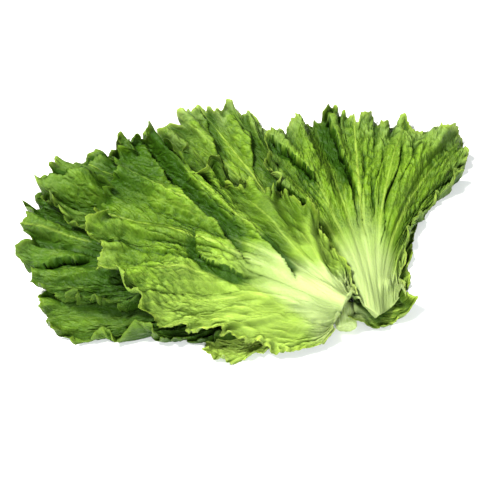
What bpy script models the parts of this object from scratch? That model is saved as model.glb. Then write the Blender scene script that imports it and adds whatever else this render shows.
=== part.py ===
# Curly leaf lettuce head, lying opened out on a flat surface: a short cut stem and nine frilled leaves.
# Metres, +Z up. +X is to the right of someone who faces the cut end of the stem, and +Y points away from
# them.
# Each leaf is one closed sheet. It is laid down as a real one is: on the surface and on the leaves below it.

import math

import bpy
import numpy as np

# The sheet that a leaf is made of, and the room that it keeps to the next one
BLADE_THICKNESS = 0.0009
RIB_WIDTH_AT_BASE = 0.009
RIB_WIDTH_AT_TIP = 0.003
RIB_TAPER = 1.4
CLEARANCE = 0.0006

# How far along each vein, from the base at 0 to the margin at 1, the rings of points lie,
# and how many times fewer points a ring has than the margin
LOW_RINGS = [(0.0, 8), (0.14, 8), (0.28, 8), (0.42, 4), (0.55, 4), (0.68, 2), (0.80, 2), (0.91, 1), (1.0, 1)]
TOP_RINGS = [(0.0, 8), (0.12, 8), (0.24, 8), (0.36, 4), (0.47, 4), (0.58, 4), (0.68, 2), (0.77, 2), (0.86, 1),
             (0.935, 1), (1.0, 1)]
VEIN_STRAIGHTNESS = 0.46
BASE_RISE = 0.003

# The margin: small in and out lobes, teeth, ruffles, and the broader billows that reach further into the
# blade. Each of the two fades from the margin inwards as a power of the way along the vein.
LOBE_WAVELENGTH = 0.026
LOBE_DEPTH = 0.0036
TOOTH_DEPTH = 0.0022
FULL_TEETH_REACH = 0.10
NEAR_MARGIN = 0.95
RUFFLE_WAVELENGTH = 0.026
RUFFLE_POWER = 5
BILLOW_WAVELENGTH = 0.068
BILLOW_POWER = 2
BILLOW_DRIFT = 0.030
WAVE_IRREGULARITY = 0.5
WAVE_HEIGHTS = (0.7, 1.2)
FOLD_POWER = 0.7

# The broad dents and swellings of a blade, and the shares of the way to the margin between which they lie
DENTS = 26
DENT_SHARES = (0.35, 0.95)
DENT_RADIUS = (0.008, 0.020)
DENT_HEIGHT = 0.0045

# How deep the lowest hollows of a leaf are pressed flat by what it lies on
PRESSED = 0.0025

# The height map that the leaves are laid on
MAP_STEP = 0.0015
MAP_REACH = 0.30
LATTICE_STEPS = 12
LEAST_UPRIGHT = 0.35

# How many points far a leaf is held up round what it lies on: a limp leaf droops sooner than a stiff one
LIMP = 5
STIFF = 26

# The cut stem, which lies on its side with the cut end towards -Y, and the leaf that is laid down after it
STEM_CENTRE = (0.0755, -0.077)
STEM_LENGTH = 0.020
STEM_RADIUS = 0.0080
STEM_SIDES = 24
FIRST_LEAF_OVER_STEM = "leaf_heart"

GREEN = (0.17, 0.36, 0.05)
YELLOW_GREEN = (0.36, 0.56, 0.11)
PALE_STEM = (0.72, 0.80, 0.45)
LEAF_ROUGHNESS = 0.45

# The leaves in the order in which they are laid down.
# base: where the leaf leaves the stem. axis: the bearing of its midrib, anticlockwise from +X.
# outline: bearing in degrees and reach in metres from the base, from the right edge round the tip to the
# left.
# folds: bearing of the fold's end at the margin, half width in degrees, height, which is negative for a
# furrow, and the share of the way from the base to the margin at which it begins.
LEAVES = [
    {
        "name": "leaf_front_low", "base": (0.0641, -0.0751), "axis": 196, "base_width": 0.013,
        "base_point": 0.45, "rib": 0.0026, "rings": LOW_RINGS, "margin_points": 80, "ruffle": 0.0070,
        "billow": 0.0060, "colour": YELLOW_GREEN, "arch": 0, "stiffness": LIMP, "seed": 3,
        "outline": [(112, 0.013), (152, 0.058), (168, 0.106), (181, 0.138), (186, 0.132), (189.5, 0.106),
                    (195, 0.099), (204, 0.091), (207, 0.078), (208, 0.061), (212, 0.043), (224, 0.026),
                    (246, 0.012)],
        "folds": [(170, 7, 0.006, 0.3), (188, 5, -0.006, 0.4), (202, 6, 0.007, 0.3)],
    },
    {
        "name": "leaf_left_low", "base": (0.0642, -0.0706), "axis": 180, "base_width": 0.014,
        "base_point": 0.45, "rib": 0.0030, "rings": LOW_RINGS, "margin_points": 96, "ruffle": 0.0090,
        "billow": 0.0100, "colour": GREEN, "arch": 0.002, "stiffness": LIMP, "seed": 5,
        "outline": [(116, 0.013), (142, 0.072), (155, 0.149), (163.5, 0.200), (169.5, 0.220), (175, 0.219),
                    (180, 0.217), (184, 0.210), (187.5, 0.194), (188.5, 0.168), (190, 0.139), (193, 0.117),
                    (197, 0.088), (203, 0.056), (215, 0.026), (236, 0.013)],
        "folds": [(164, 4, 0.008, 0.4), (172, 3, -0.007, 0.5), (179, 4, 0.010, 0.4), (185, 3, -0.008, 0.5)],
    },
    {
        "name": "leaf_back", "base": (0.0725, -0.0637), "axis": 117, "base_width": 0.014,
        "base_point": 0.45, "rib": 0.0030, "rings": LOW_RINGS, "margin_points": 104, "ruffle": 0.0090,
        "billow": 0.0090, "colour": GREEN, "arch": 0, "stiffness": LIMP, "seed": 8,
        "outline": [(50, 0.014), (78, 0.044), (94, 0.076), (103, 0.118), (107, 0.156), (109.5, 0.180),
                    (112, 0.198), (116, 0.201), (121, 0.211), (125, 0.212), (130, 0.208), (135, 0.208),
                    (141, 0.189), (150, 0.142), (163, 0.080), (178, 0.044), (196, 0.015)],
        "folds": [(109, 2.5, 0.009, 0.4), (113, 2, -0.009, 0.5), (117, 3, 0.010, 0.4), (122, 2, -0.010, 0.5),
                  (129, 4, 0.008, 0.4)],
    },
    {
        "name": "leaf_right_low", "base": (0.0870, -0.0627), "axis": 52, "base_width": 0.013,
        "base_point": 0.45, "rib": 0.0026, "rings": LOW_RINGS, "margin_points": 80, "ruffle": 0.0070,
        "billow": 0.0060, "colour": YELLOW_GREEN, "arch": 0, "stiffness": LIMP, "seed": 13,
        "outline": [(-22, 0.012), (6, 0.026), (19, 0.039), (33, 0.049), (46, 0.061), (55, 0.088),
                    (61, 0.112), (68, 0.126), (76, 0.124), (81, 0.110), (92, 0.062), (118, 0.015)],
        "folds": [(34, 8, 0.004, 0.4), (60, 5, -0.006, 0.4), (70, 6, 0.007, 0.4)],
    },
    {
        "name": "leaf_left_outer", "base": (0.0625, -0.0692), "axis": 166, "base_width": 0.015,
        "base_point": 0.45, "rib": 0.0032, "rings": LOW_RINGS, "margin_points": 96, "ruffle": 0.0095,
        "billow": 0.0105, "colour": GREEN, "arch": 0.006, "stiffness": STIFF, "seed": 34,
        "outline": [(92, 0.015), (122, 0.052), (138, 0.100), (147, 0.165), (153, 0.215), (157.5, 0.238),
                    (161, 0.245), (164, 0.239), (167, 0.233), (170.5, 0.233), (174, 0.226), (177.5, 0.214),
                    (180, 0.190), (181.5, 0.161), (184, 0.126), (193, 0.076), (207, 0.036), (228, 0.015)],
        "folds": [(153, 3, 0.008, 0.4), (160, 3, -0.008, 0.5), (166, 3, 0.011, 0.4), (171, 2.5, -0.009, 0.5),
                  (176, 3, 0.009, 0.4)],
    },
    {
        "name": "leaf_left_middle", "base": (0.0640, -0.0669), "axis": 150, "base_width": 0.015,
        "base_point": 0.45, "rib": 0.0034, "rings": LOW_RINGS, "margin_points": 96, "ruffle": 0.0095,
        "billow": 0.0100, "colour": GREEN, "arch": 0.006, "stiffness": STIFF, "seed": 42,
        "outline": [(76, 0.015), (102, 0.044), (119, 0.090), (128, 0.159), (133, 0.190), (139, 0.205),
                    (145, 0.214), (150, 0.224), (154.5, 0.235), (158, 0.236), (161, 0.225), (164, 0.204),
                    (167.5, 0.175), (172, 0.137), (182, 0.072), (196, 0.034), (216, 0.015)],
        "folds": [(136, 3, 0.009, 0.4), (142, 2.5, -0.009, 0.5), (147, 3, 0.010, 0.4), (152, 2, -0.010, 0.5),
                  (157, 3, 0.010, 0.4)],
    },
    {
        "name": "leaf_heart", "base": (0.0790, -0.0720), "axis": -8, "base_width": 0.011,
        "base_point": 0.45, "rib": 0.0018, "rings": LOW_RINGS, "margin_points": 56, "ruffle": 0.0034,
        "billow": 0.0025, "colour": YELLOW_GREEN, "arch": 0.001, "stiffness": LIMP, "seed": 21,
        "outline": [(-106, 0.010), (-90, 0.012), (-72, 0.013), (-52, 0.016), (-36, 0.022), (-24, 0.028),
                    (-14, 0.034), (-6, 0.041), (2, 0.045), (8, 0.050), (14, 0.046), (22, 0.043), (34, 0.038),
                    (54, 0.024), (84, 0.010)],
        "folds": [(-15, 12, 0.003, 0.4), (12, 10, -0.003, 0.4)],
    },
    {
        "name": "leaf_right_top", "base": (0.0974, -0.0819), "axis": 95, "base_width": 0.040,
        "base_point": 0.85, "rib": 0.0042, "rings": TOP_RINGS, "margin_points": 128, "ruffle": 0.0088,
        "billow": 0.0080, "colour": GREEN, "arch": 0.005, "stiffness": STIFF, "seed": 55,
        "outline": [(40, 0.030), (57, 0.046), (66, 0.064), (67, 0.084), (65, 0.108), (62.5, 0.130),
                    (60, 0.155), (62, 0.177), (66, 0.184), (72, 0.181), (79, 0.184), (87, 0.184),
                    (95, 0.192), (102, 0.196), (110, 0.190), (117.5, 0.173), (121, 0.150), (121.5, 0.120),
                    (121.5, 0.080), (128, 0.050), (150, 0.031)],
        "folds": [(66, 4, 0.008, 0.5), (76, 3, -0.007, 0.5), (83, 3, 0.009, 0.5), (90, 3, -0.006, 0.6),
                  (97.5, 2.6, 0.013, 0.5), (102, 2.2, -0.016, 0.55), (106.5, 3, 0.010, 0.5),
                  (112, 2.4, 0.007, 0.5), (116, 1.8, -0.013, 0.6), (120, 3, 0.008, 0.5)],
    },
    {
        "name": "leaf_left_top", "base": (0.0735, -0.0795), "axis": 147, "base_width": 0.018,
        "base_point": 0.1, "rib": 0.0048, "rings": TOP_RINGS, "margin_points": 144, "ruffle": 0.0090,
        "billow": 0.0080, "colour": GREEN, "arch": 0.007, "stiffness": STIFF, "seed": 89,
        "outline": [(44, 0.013), (66, 0.021), (80, 0.032), (89, 0.044), (98, 0.055), (104, 0.062),
                    (105, 0.075), (109, 0.089), (115.5, 0.112), (123.5, 0.122), (129.5, 0.137),
                    (133.5, 0.149), (134.5, 0.168), (135, 0.190), (136, 0.207), (138.5, 0.217),
                    (144, 0.211), (150.5, 0.205), (157, 0.196), (163.5, 0.193), (170, 0.181),
                    (175.5, 0.171), (180, 0.154), (185, 0.130), (190, 0.104), (197, 0.080), (206, 0.063),
                    (216, 0.046), (228, 0.029), (242, 0.014)],
        "folds": [(90, 6, 0.005, 0.4), (99.5, 3.5, -0.009, 0.35), (107, 4, 0.010, 0.4), (115, 4, -0.006, 0.5),
                  (122, 3.5, 0.008, 0.4), (129, 2.2, -0.015, 0.35), (133.5, 3, 0.016, 0.35),
                  (141, 3, -0.008, 0.5), (147, 3, 0.011, 0.5), (154, 3.5, -0.007, 0.45), (162, 4, 0.008, 0.5),
                  (171, 3.5, -0.006, 0.5), (180, 5, 0.006, 0.5)],
    },
]


def direction(bearing):
    angle = math.radians(bearing)
    return np.array([math.cos(angle), math.sin(angle)])


def smooth_curve(points, count):
    # A Catmull-Rom curve through the points, read at count + 1 places that are evenly spaced along it
    points = np.array(points)
    ends = np.vstack([2 * points[0] - points[1], points, 2 * points[-1] - points[-2]])
    steps = np.linspace(0, 1, 24, endpoint=False)[:, None]
    pieces = []
    for before, start, end, after in zip(ends, ends[1:], ends[2:], ends[3:]):
        pieces.append(start + 0.5 * steps * (end - before)
                      + steps ** 2 * (before - 2.5 * start + 2 * end - 0.5 * after)
                      + steps ** 3 * (1.5 * (start - end) + 0.5 * (after - before)))
    dense = np.vstack(pieces + [points[-1:]])
    run = np.concatenate([[0], np.cumsum(np.linalg.norm(np.diff(dense, axis=0), axis=1))])
    places = np.linspace(0, run[-1], count + 1)
    return np.stack([np.interp(places, run, dense[:, i]) for i in range(2)], axis=1), places


def vein_points(leaf, margin, share):
    # Where the veins that end at these margin points are, that share of the way along: each leaves the base
    # along the midrib and bends out to the margin
    base, axis = np.array(leaf["base"]), direction(leaf["axis"])
    side = np.array([axis[1], -axis[0]])
    spread = np.linspace(0.5, -0.5, len(margin))[:, None]
    start = base + (side * spread + axis * np.abs(spread) * leaf["base_point"]) * leaf["base_width"]
    reach = np.linalg.norm(margin - base, axis=1, keepdims=True)
    bend = start + axis * reach * VEIN_STRAIGHTNESS
    return (1 - share) ** 2 * start + 2 * share * (1 - share) * bend + share ** 2 * margin


def wave_along(rng, length, wavelength):
    # A wave whose steps are uneven, as a function of the distance along the margin
    count = max(2, round(2 * length / wavelength))
    steps = 1 + WAVE_IRREGULARITY * rng.uniform(-1, 1, count)
    turns = np.concatenate([[0], np.cumsum(steps)]) / steps.sum() * length
    heights = (-1.0) ** np.arange(count + 1) * rng.uniform(*WAVE_HEIGHTS, count + 1)

    def wave(place):
        at = np.clip(np.searchsorted(turns, place, side="right") - 1, 0, count - 1)
        share = (place - turns[at]) / (turns[at + 1] - turns[at])
        ease = 0.5 - 0.5 * np.cos(math.pi * share)
        return heights[at] * (1 - ease) + heights[at + 1] * ease

    return wave


def bridge(inner, outer):
    # Triangles, facing up, between two rings of points, the outer with as many points or with twice the steps
    faces = []
    double = len(outer) > len(inner)
    for i in range(len(inner) - 1):
        a, b = inner[i], inner[i + 1]
        if double:
            c, d, e = outer[2 * i], outer[2 * i + 1], outer[2 * i + 2]
            faces += [(a, c, d), (a, d, b), (b, d, e)]
        elif i % 2:
            faces += [(a, outer[i], outer[i + 1]), (a, outer[i + 1], b)]
        else:
            faces += [(a, outer[i], b), (b, outer[i], outer[i + 1])]
    return faces


def dents_of(rng, leaf, margin):
    # The places, radii and heights of the broad dents and swellings of a leaf
    chosen = margin[rng.integers(0, len(margin), DENTS)]
    shares = rng.uniform(*DENT_SHARES, DENTS)
    base = np.array(leaf["base"])
    places = base + (chosen - base) * shares[:, None]
    return places, rng.uniform(*DENT_RADIUS, DENTS), rng.uniform(-1, 1, DENTS) * DENT_HEIGHT


def leaf_sheet(leaf):
    # The points and triangles of the leaf's middle surface before it is laid down, and the thickness there
    rng = np.random.default_rng(leaf["seed"])
    count = leaf["margin_points"]
    base = np.array(leaf["base"])
    outline = [base + reach * direction(bearing) for bearing, reach in leaf["outline"]]
    margin, run = smooth_curve(outline, count)
    free = np.minimum(1, np.linalg.norm(margin - base, axis=1) / FULL_TEETH_REACH)
    along = np.gradient(margin, axis=0)
    outward = np.column_stack([along[:, 1], -along[:, 0]]) / np.linalg.norm(along, axis=1, keepdims=True)
    vein_ends = vein_points(leaf, margin, 1) - vein_points(leaf, margin, NEAR_MARGIN)
    vein_ends /= np.linalg.norm(vein_ends, axis=1, keepdims=True)
    cut = free * np.clip((outward * vein_ends).sum(axis=1), 0, 1) ** 2
    margin = margin + outward * (wave_along(rng, run[-1], LOBE_WAVELENGTH)(run) * LOBE_DEPTH * cut)[:, None]
    teeth = np.where(np.arange(count + 1) % 2, 1, -1) * rng.uniform(0.3, 1, count + 1) * TOOTH_DEPTH * cut
    toothed = margin + outward * teeth[:, None]
    ruffle = wave_along(rng, run[-1], RUFFLE_WAVELENGTH)(run) * leaf["ruffle"] * free
    billow = wave_along(rng, run[-1] + BILLOW_DRIFT, BILLOW_WAVELENGTH)
    places, radii, heights = dents_of(rng, leaf, margin)
    off_axis = np.arctan2(*(margin - base).T[::-1]) - math.radians(leaf["axis"])
    bearing = leaf["axis"] + np.degrees((off_axis + math.pi) % (2 * math.pi) - math.pi)
    middle = np.argmin(np.abs(bearing - leaf["axis"]))

    points, halves, rings = [], [], []
    for share, coarser in leaf["rings"]:
        plan = vein_points(leaf, toothed if share == 1 else margin, share)
        from_rib = np.linalg.norm(plan - plan[middle], axis=1)
        rib_width = RIB_WIDTH_AT_BASE + (RIB_WIDTH_AT_TIP - RIB_WIDTH_AT_BASE) * share
        rib = leaf["rib"] * (1 - share) ** RIB_TAPER * np.exp(-(from_rib / rib_width) ** 2)
        height = BASE_RISE * (1 - share) ** 2 + leaf["arch"] * math.sin(math.pi * share)
        height += ruffle * share ** RUFFLE_POWER
        height += billow(run + BILLOW_DRIFT * (1 - share)) * leaf["billow"] * free * share ** BILLOW_POWER
        for at, width, rise, begins in leaf["folds"]:
            full = max(0, (share - begins) / (1 - begins)) ** FOLD_POWER
            height += rise * full * np.exp(-((bearing - at) / width) ** 2)
        for place, radius, rise in zip(places, radii, heights):
            height += rise * np.exp(-((plan - place) ** 2).sum(axis=1) / radius ** 2)
        half = (BLADE_THICKNESS + rib) / 2
        ring = np.column_stack([plan, np.maximum(height - PRESSED, half)])[::coarser]
        rings.append(list(range(len(points), len(points) + len(ring))))
        points += list(ring)
        halves += list(half[::coarser])
    faces = [face for inner, outer in zip(rings, rings[1:]) for face in bridge(inner, outer)]
    return np.array(points), np.array(faces), np.array(halves)


def normals_of(points, faces):
    a, b, c = (points[faces[:, i]] for i in range(3))
    across = np.cross(b - a, c - a)
    normals = np.zeros_like(points)
    for i in range(3):
        np.add.at(normals, faces[:, i], across)
    normals /= np.linalg.norm(normals, axis=1, keepdims=True)
    return normals if normals[:, 2].mean() > 0 else -normals


def lattice():
    # Weights of the corners for a lattice of places over a triangle
    n = LATTICE_STEPS
    return np.array([(i / n, j / n, (n - i - j) / n) for i in range(n + 1) for j in range(n + 1 - i)])


def map_places(plan):
    return np.round((plan + MAP_REACH) / MAP_STEP).astype(int)


def add_to_map(tops, points, faces):
    # Raises the height map to a surface, and to its neighbours' height one step round
    spots = np.einsum("sc,tcx->tsx", lattice(), points[faces]).reshape(-1, 3)
    where = map_places(spots[:, :2])
    fresh = np.zeros_like(tops)
    np.maximum.at(fresh, (where[:, 0], where[:, 1]), spots[:, 2])
    for axis in range(2):
        fresh = np.maximum(fresh, np.maximum(np.roll(fresh, 1, axis), np.roll(fresh, -1, axis)))
    np.maximum(tops, fresh, out=tops)


def lay_down(points, faces, halves, tops, stiffness):
    # Lifts the sheet clear of what the height map holds, and eases each lift out to the points around it
    weights = lattice()
    where = map_places(np.einsum("sc,tcx->tsx", weights, points[faces][:, :, :2]))
    need = tops[where[:, :, 0], where[:, :, 1]]
    need = np.where(need > 0, need + CLEARANCE, -np.inf)
    steep = halves / np.maximum(normals_of(points, faces)[:, 2], LEAST_UPRIGHT)
    lift = np.zeros(len(points))
    for _ in range(LATTICE_STEPS):
        under = points[:, 2] + lift - steep
        short = (need - under[faces] @ weights.T).max(axis=1)
        if short.max() <= 0:
            break
        rise = np.zeros(len(points))
        for i in range(3):
            np.maximum.at(rise, faces[:, i], short)
        lift += rise
    ends = np.concatenate([faces[:, [0, 1]], faces[:, [1, 2]], faces[:, [2, 0]]])
    for _ in range(stiffness):
        total, number = np.zeros(len(points)), np.zeros(len(points))
        for one, other in ((0, 1), (1, 0)):
            np.add.at(total, ends[:, one], lift[ends[:, other]])
            np.add.at(number, ends[:, one], 1)
        lift = np.maximum(lift, total / number)
    return points + np.column_stack([np.zeros((len(points), 2)), lift])


def closed_sheet(points, faces, halves):
    # The sheet given its thickness, flat where it lies on the surface: upper side, lower side and rim
    normals = normals_of(points, faces)
    upper = points + normals * halves[:, None]
    lower = points - normals * halves[:, None]
    lower[:, 2] = np.where(points[:, 2] <= halves, 0, np.maximum(lower[:, 2], 0))
    count = len(points)
    edges = {}
    for face in faces:
        for i in range(3):
            edges[(face[i], face[(i + 1) % 3])] = True
    rim = [(a, b) for a, b in edges if (b, a) not in edges]
    sides = [face for a, b in rim for face in ((b, a, a + count), (b, a + count, b + count))]
    return np.vstack([upper, lower]), np.vstack([faces, faces[:, ::-1] + count, sides]), upper, faces


def stem_solid():
    # A short barrel on its side, narrower where the leaves leave it, with its underside flat on the surface
    shape = [(-0.5, 0.90), (-0.46, 0.97), (-0.1, 1.06), (0.25, 0.98), (0.46, 0.80), (0.5, 0.70)]
    points = []
    for along, radius in shape:
        for i in range(STEM_SIDES):
            angle = 2 * math.pi * i / STEM_SIDES
            across = radius * STEM_RADIUS * math.cos(angle)
            up = STEM_RADIUS + radius * STEM_RADIUS * math.sin(angle)
            points.append((STEM_CENTRE[0] + across, STEM_CENTRE[1] + along * STEM_LENGTH, max(up, 0)))
    faces = []
    for ring in range(len(shape) - 1):
        for i in range(STEM_SIDES):
            j = (i + 1) % STEM_SIDES
            a, b = ring * STEM_SIDES + i, ring * STEM_SIDES + j
            faces += [(a, b + STEM_SIDES, b), (a, a + STEM_SIDES, b + STEM_SIDES)]
    last = (len(shape) - 1) * STEM_SIDES
    for i in range(1, STEM_SIDES - 1):
        faces += [(0, i, i + 1), (last, last + i + 1, last + i)]
    return np.array(points), np.array(faces)


def material(name, colour):
    made = bpy.data.materials.new(name)
    made.use_nodes = True
    shader = made.node_tree.nodes["Principled BSDF"]
    shader.inputs["Base Color"].default_value = (*colour, 1)
    shader.inputs["Roughness"].default_value = LEAF_ROUGHNESS
    shader.inputs["Metallic"].default_value = 0
    return made


def place_object(name, points, faces, origin, colour, parent):
    mesh = bpy.data.meshes.new(name)
    mesh.from_pydata((points - origin).tolist(), [], faces.tolist())
    mesh.materials.append(material(name, colour))
    mesh.shade_smooth()
    mesh.set_sharp_from_angle(angle=math.radians(50))
    made = bpy.data.objects.new(name, mesh)
    bpy.context.scene.collection.objects.link(made)
    made.parent = parent
    made.location = origin
    return made


def build_head():
    for old in list(bpy.data.objects):
        bpy.data.objects.remove(old)
    cells = int(2 * MAP_REACH / MAP_STEP) + 1
    tops = np.zeros((cells, cells))
    solids = []
    stem_points, stem_faces = stem_solid()
    for leaf in LEAVES:
        if leaf["name"] == FIRST_LEAF_OVER_STEM:
            add_to_map(tops, stem_points, stem_faces)
        points, faces, halves = leaf_sheet(leaf)
        points = lay_down(points, faces, halves, tops, leaf["stiffness"])
        solid_points, solid_faces, upper, upper_faces = closed_sheet(points, faces, halves)
        add_to_map(tops, upper, upper_faces)
        origin = np.array([*leaf["base"], 0])
        solids.append((leaf["name"], solid_points, solid_faces, origin, leaf["colour"]))
    solids.append(("stem", stem_points, stem_faces, np.array([*STEM_CENTRE, 0]), PALE_STEM))

    every = np.vstack([points for _, points, _, _, _ in solids])
    low, high = every.min(axis=0), every.max(axis=0)
    middle = np.array([(low[0] + high[0]) / 2, (low[1] + high[1]) / 2, low[2]])
    head = bpy.data.objects.new("lettuce_head", None)
    bpy.context.scene.collection.objects.link(head)
    for name, points, faces, origin, colour in solids:
        place_object(name, points - middle, faces, origin - middle, colour, head)


build_head()
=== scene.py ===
import math

import bpy
import numpy as np
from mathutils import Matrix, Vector
from mathutils.bvhtree import BVHTree


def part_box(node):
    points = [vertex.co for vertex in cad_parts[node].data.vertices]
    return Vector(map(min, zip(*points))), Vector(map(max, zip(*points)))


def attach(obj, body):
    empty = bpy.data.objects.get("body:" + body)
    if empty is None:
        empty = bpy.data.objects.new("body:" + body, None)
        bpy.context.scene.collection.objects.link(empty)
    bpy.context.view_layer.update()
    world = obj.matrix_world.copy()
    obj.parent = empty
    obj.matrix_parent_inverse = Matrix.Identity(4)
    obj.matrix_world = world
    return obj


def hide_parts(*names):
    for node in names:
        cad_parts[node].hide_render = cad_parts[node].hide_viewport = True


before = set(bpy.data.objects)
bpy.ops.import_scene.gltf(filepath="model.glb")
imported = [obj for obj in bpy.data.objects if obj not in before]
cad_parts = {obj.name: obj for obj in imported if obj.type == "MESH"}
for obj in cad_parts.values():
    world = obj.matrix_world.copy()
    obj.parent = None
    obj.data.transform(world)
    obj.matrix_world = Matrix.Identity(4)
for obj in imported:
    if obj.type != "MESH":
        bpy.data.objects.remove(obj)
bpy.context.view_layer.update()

# The head is drawn on a layout whose stem lies at this place; everything below is in metres on that layout
stemPlace = (0.0755, -0.077)
stemLow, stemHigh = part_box("stem")
shift = np.array([(stemLow.x + stemHigh.x) / 2 - stemPlace[0], (stemLow.y + stemHigh.y) / 2 - stemPlace[1]])

photoView = {"lens": 85, "elevation": 60, "distance": 0.884, "aim": (-0.0031, -0.0072)}
studio = {
    "floorSize": 6.0, "floorColour": (0.90, 0.90, 0.88), "sky": (0.93, 0.97, 1.0), "skyStrength": 0.43,
    "keyPower": 50, "keySize": 0.28, "keyFrom": (-0.62, 0.10, 1.30), "keyColour": (1.0, 0.98, 0.93),
    "fillPower": 20, "fillSize": 0.8, "fillFrom": (0.25, -1.1, 0.9), "fillColour": (0.95, 0.98, 1.0),
    "floorHeight": -0.0002, "floorShade": 0.985, "floorGrain": 60, "floorRoughness": 0.85,
}

# What the CAD leaves are drawn with, so that the fine leaves have the same lobes in the same places
cadLeaf = {
    "veinStraightness": 0.46, "nearMargin": 0.95, "lobeWavelength": 0.026, "lobeDepth": 0.0036,
    "fullTeethReach": 0.10, "unevenness": 0.5, "waveHeights": (0.7, 1.2), "curveSteps": 24,
}


# Camera and studio

def stood(name, data):
    # A new object in the scene
    made = bpy.data.objects.new(name, data)
    bpy.context.scene.collection.objects.link(made)
    return made


def placeCamera():
    slope = math.radians(photoView["elevation"])
    aim = Vector((photoView["aim"][0] + shift[0], photoView["aim"][1] + shift[1], 0))
    back = Vector((0, -math.cos(slope), math.sin(slope)))
    camera = stood("photoCamera", bpy.data.cameras.new("photoCamera"))
    camera.data.lens = photoView["lens"]
    camera.data.clip_start = 0.01
    camera.location = aim + back * photoView["distance"]
    camera.rotation_euler = (-back).to_track_quat("-Z", "Y").to_euler()
    bpy.context.scene.camera = camera


def placeLight(name, power, size, start, colour):
    lamp = stood(name, bpy.data.lights.new(name, "AREA"))
    lamp.data.energy = power
    lamp.data.size = size
    lamp.data.color = colour
    lamp.location = start
    lamp.rotation_euler = (-Vector(start)).to_track_quat("-Z", "Y").to_euler()


def placeStudio():
    world = bpy.data.worlds.new("softSky")
    world.use_nodes = True
    sky = world.node_tree.nodes["Background"]
    sky.inputs["Color"].default_value = (*studio["sky"], 1)
    sky.inputs["Strength"].default_value = studio["skyStrength"]
    bpy.context.scene.world = world
    placeLight("keyLight", studio["keyPower"], studio["keySize"], studio["keyFrom"], studio["keyColour"])
    placeLight("fillLight", studio["fillPower"], studio["fillSize"], studio["fillFrom"], studio["fillColour"])
    half = studio["floorSize"] / 2
    mesh = bpy.data.meshes.new("floor")
    corners = [(-half, -half, 0), (half, -half, 0), (half, half, 0), (-half, half, 0)]
    mesh.from_pydata(corners, [], [(0, 1, 2, 3)])
    floor = stood("floor", mesh)
    floor.location.z = studio["floorHeight"]
    return floor


# Shader building

class Number:
    # A number that varies over a surface; arithmetic on it adds Math nodes
    def __init__(self, paint, socket):
        self.paint, self.socket = paint, socket

    def combined(self, operation, first, second):
        node = self.paint.node("ShaderNodeMath", {"operation": operation}, {0: first, 1: second})
        return Number(self.paint, node.outputs[0])

    def __add__(self, other):
        return self.combined("ADD", self, other)

    def __radd__(self, other):
        return self.combined("ADD", other, self)

    def __sub__(self, other):
        return self.combined("SUBTRACT", self, other)

    def __rsub__(self, other):
        return self.combined("SUBTRACT", other, self)

    def __mul__(self, other):
        return self.combined("MULTIPLY", self, other)

    def __rmul__(self, other):
        return self.combined("MULTIPLY", other, self)

    def within(self, low, high):
        # 0 below low, 1 above high and smooth between them
        node = self.paint.node("ShaderNodeMapRange", {"interpolation_type": "SMOOTHSTEP"},
                               {"Value": self, "From Min": low, "From Max": high})
        return Number(self.paint, node.outputs[0])


class Paint:
    # One procedural material
    def __init__(self, name):
        self.material = bpy.data.materials.new(name)
        self.material.use_nodes = True
        self.tree = self.material.node_tree
        self.shader = self.tree.nodes["Principled BSDF"]

    def node(self, kind, settings=None, sockets=None):
        made = self.tree.nodes.new(kind)
        for name, value in (settings or {}).items():
            setattr(made, name, value)
        for key, value in (sockets or {}).items():
            self.feed(made.inputs[key], value)
        return made

    def feed(self, socket, value):
        if isinstance(value, Number):
            self.tree.links.new(value.socket, socket)
        elif isinstance(value, bpy.types.NodeSocket):
            self.tree.links.new(value, socket)
        else:
            socket.default_value = value

    def settle(self, constants):
        for name, value in constants.items():
            self.shader.inputs[name].default_value = value

    def attribute(self, name):
        node = self.node("ShaderNodeAttribute", {"attribute_name": name})
        return Number(self, node.outputs["Fac"])

    def stretched(self, where, stretch):
        return self.node("ShaderNodeVectorMath", {"operation": "MULTIPLY"}, {0: where, 1: stretch}).outputs[0]

    def place(self, stretch=(1, 1, 1)):
        # The place on the leaf in metres: along the margin, along the veins, and a layer for each side
        node = self.node("ShaderNodeAttribute", {"attribute_name": "leafPlace"})
        return self.stretched(node.outputs["Vector"], stretch)

    def noise(self, where, scale, detail):
        sockets = {"Vector": where, "Scale": scale, "Detail": detail, "Roughness": 0.55}
        return Number(self, self.node("ShaderNodeTexNoise", {}, sockets).outputs[0])

    def cells(self, where, scale):
        # How far each place is from the edge of its cell
        settings, sockets = {"feature": "DISTANCE_TO_EDGE"}, {"Vector": where, "Scale": scale}
        return Number(self, self.node("ShaderNodeTexVoronoi", settings, sockets).outputs["Distance"])

    def mix(self, share, first, second, blend="MIX"):
        settings, sockets = {"data_type": "RGBA", "blend_type": blend}, {0: share, 6: first, 7: second}
        return self.node("ShaderNodeMix", settings, sockets).outputs[2]

    def bump(self, height, distance, strength):
        sockets = {"Height": height, "Distance": distance, "Strength": strength}
        return self.node("ShaderNodeBump", {}, sockets).outputs[0]


# The leaves' plan, as the CAD draws it

def direction(bearing):
    angle = math.radians(bearing)
    return np.array([math.cos(angle), math.sin(angle)])


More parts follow.
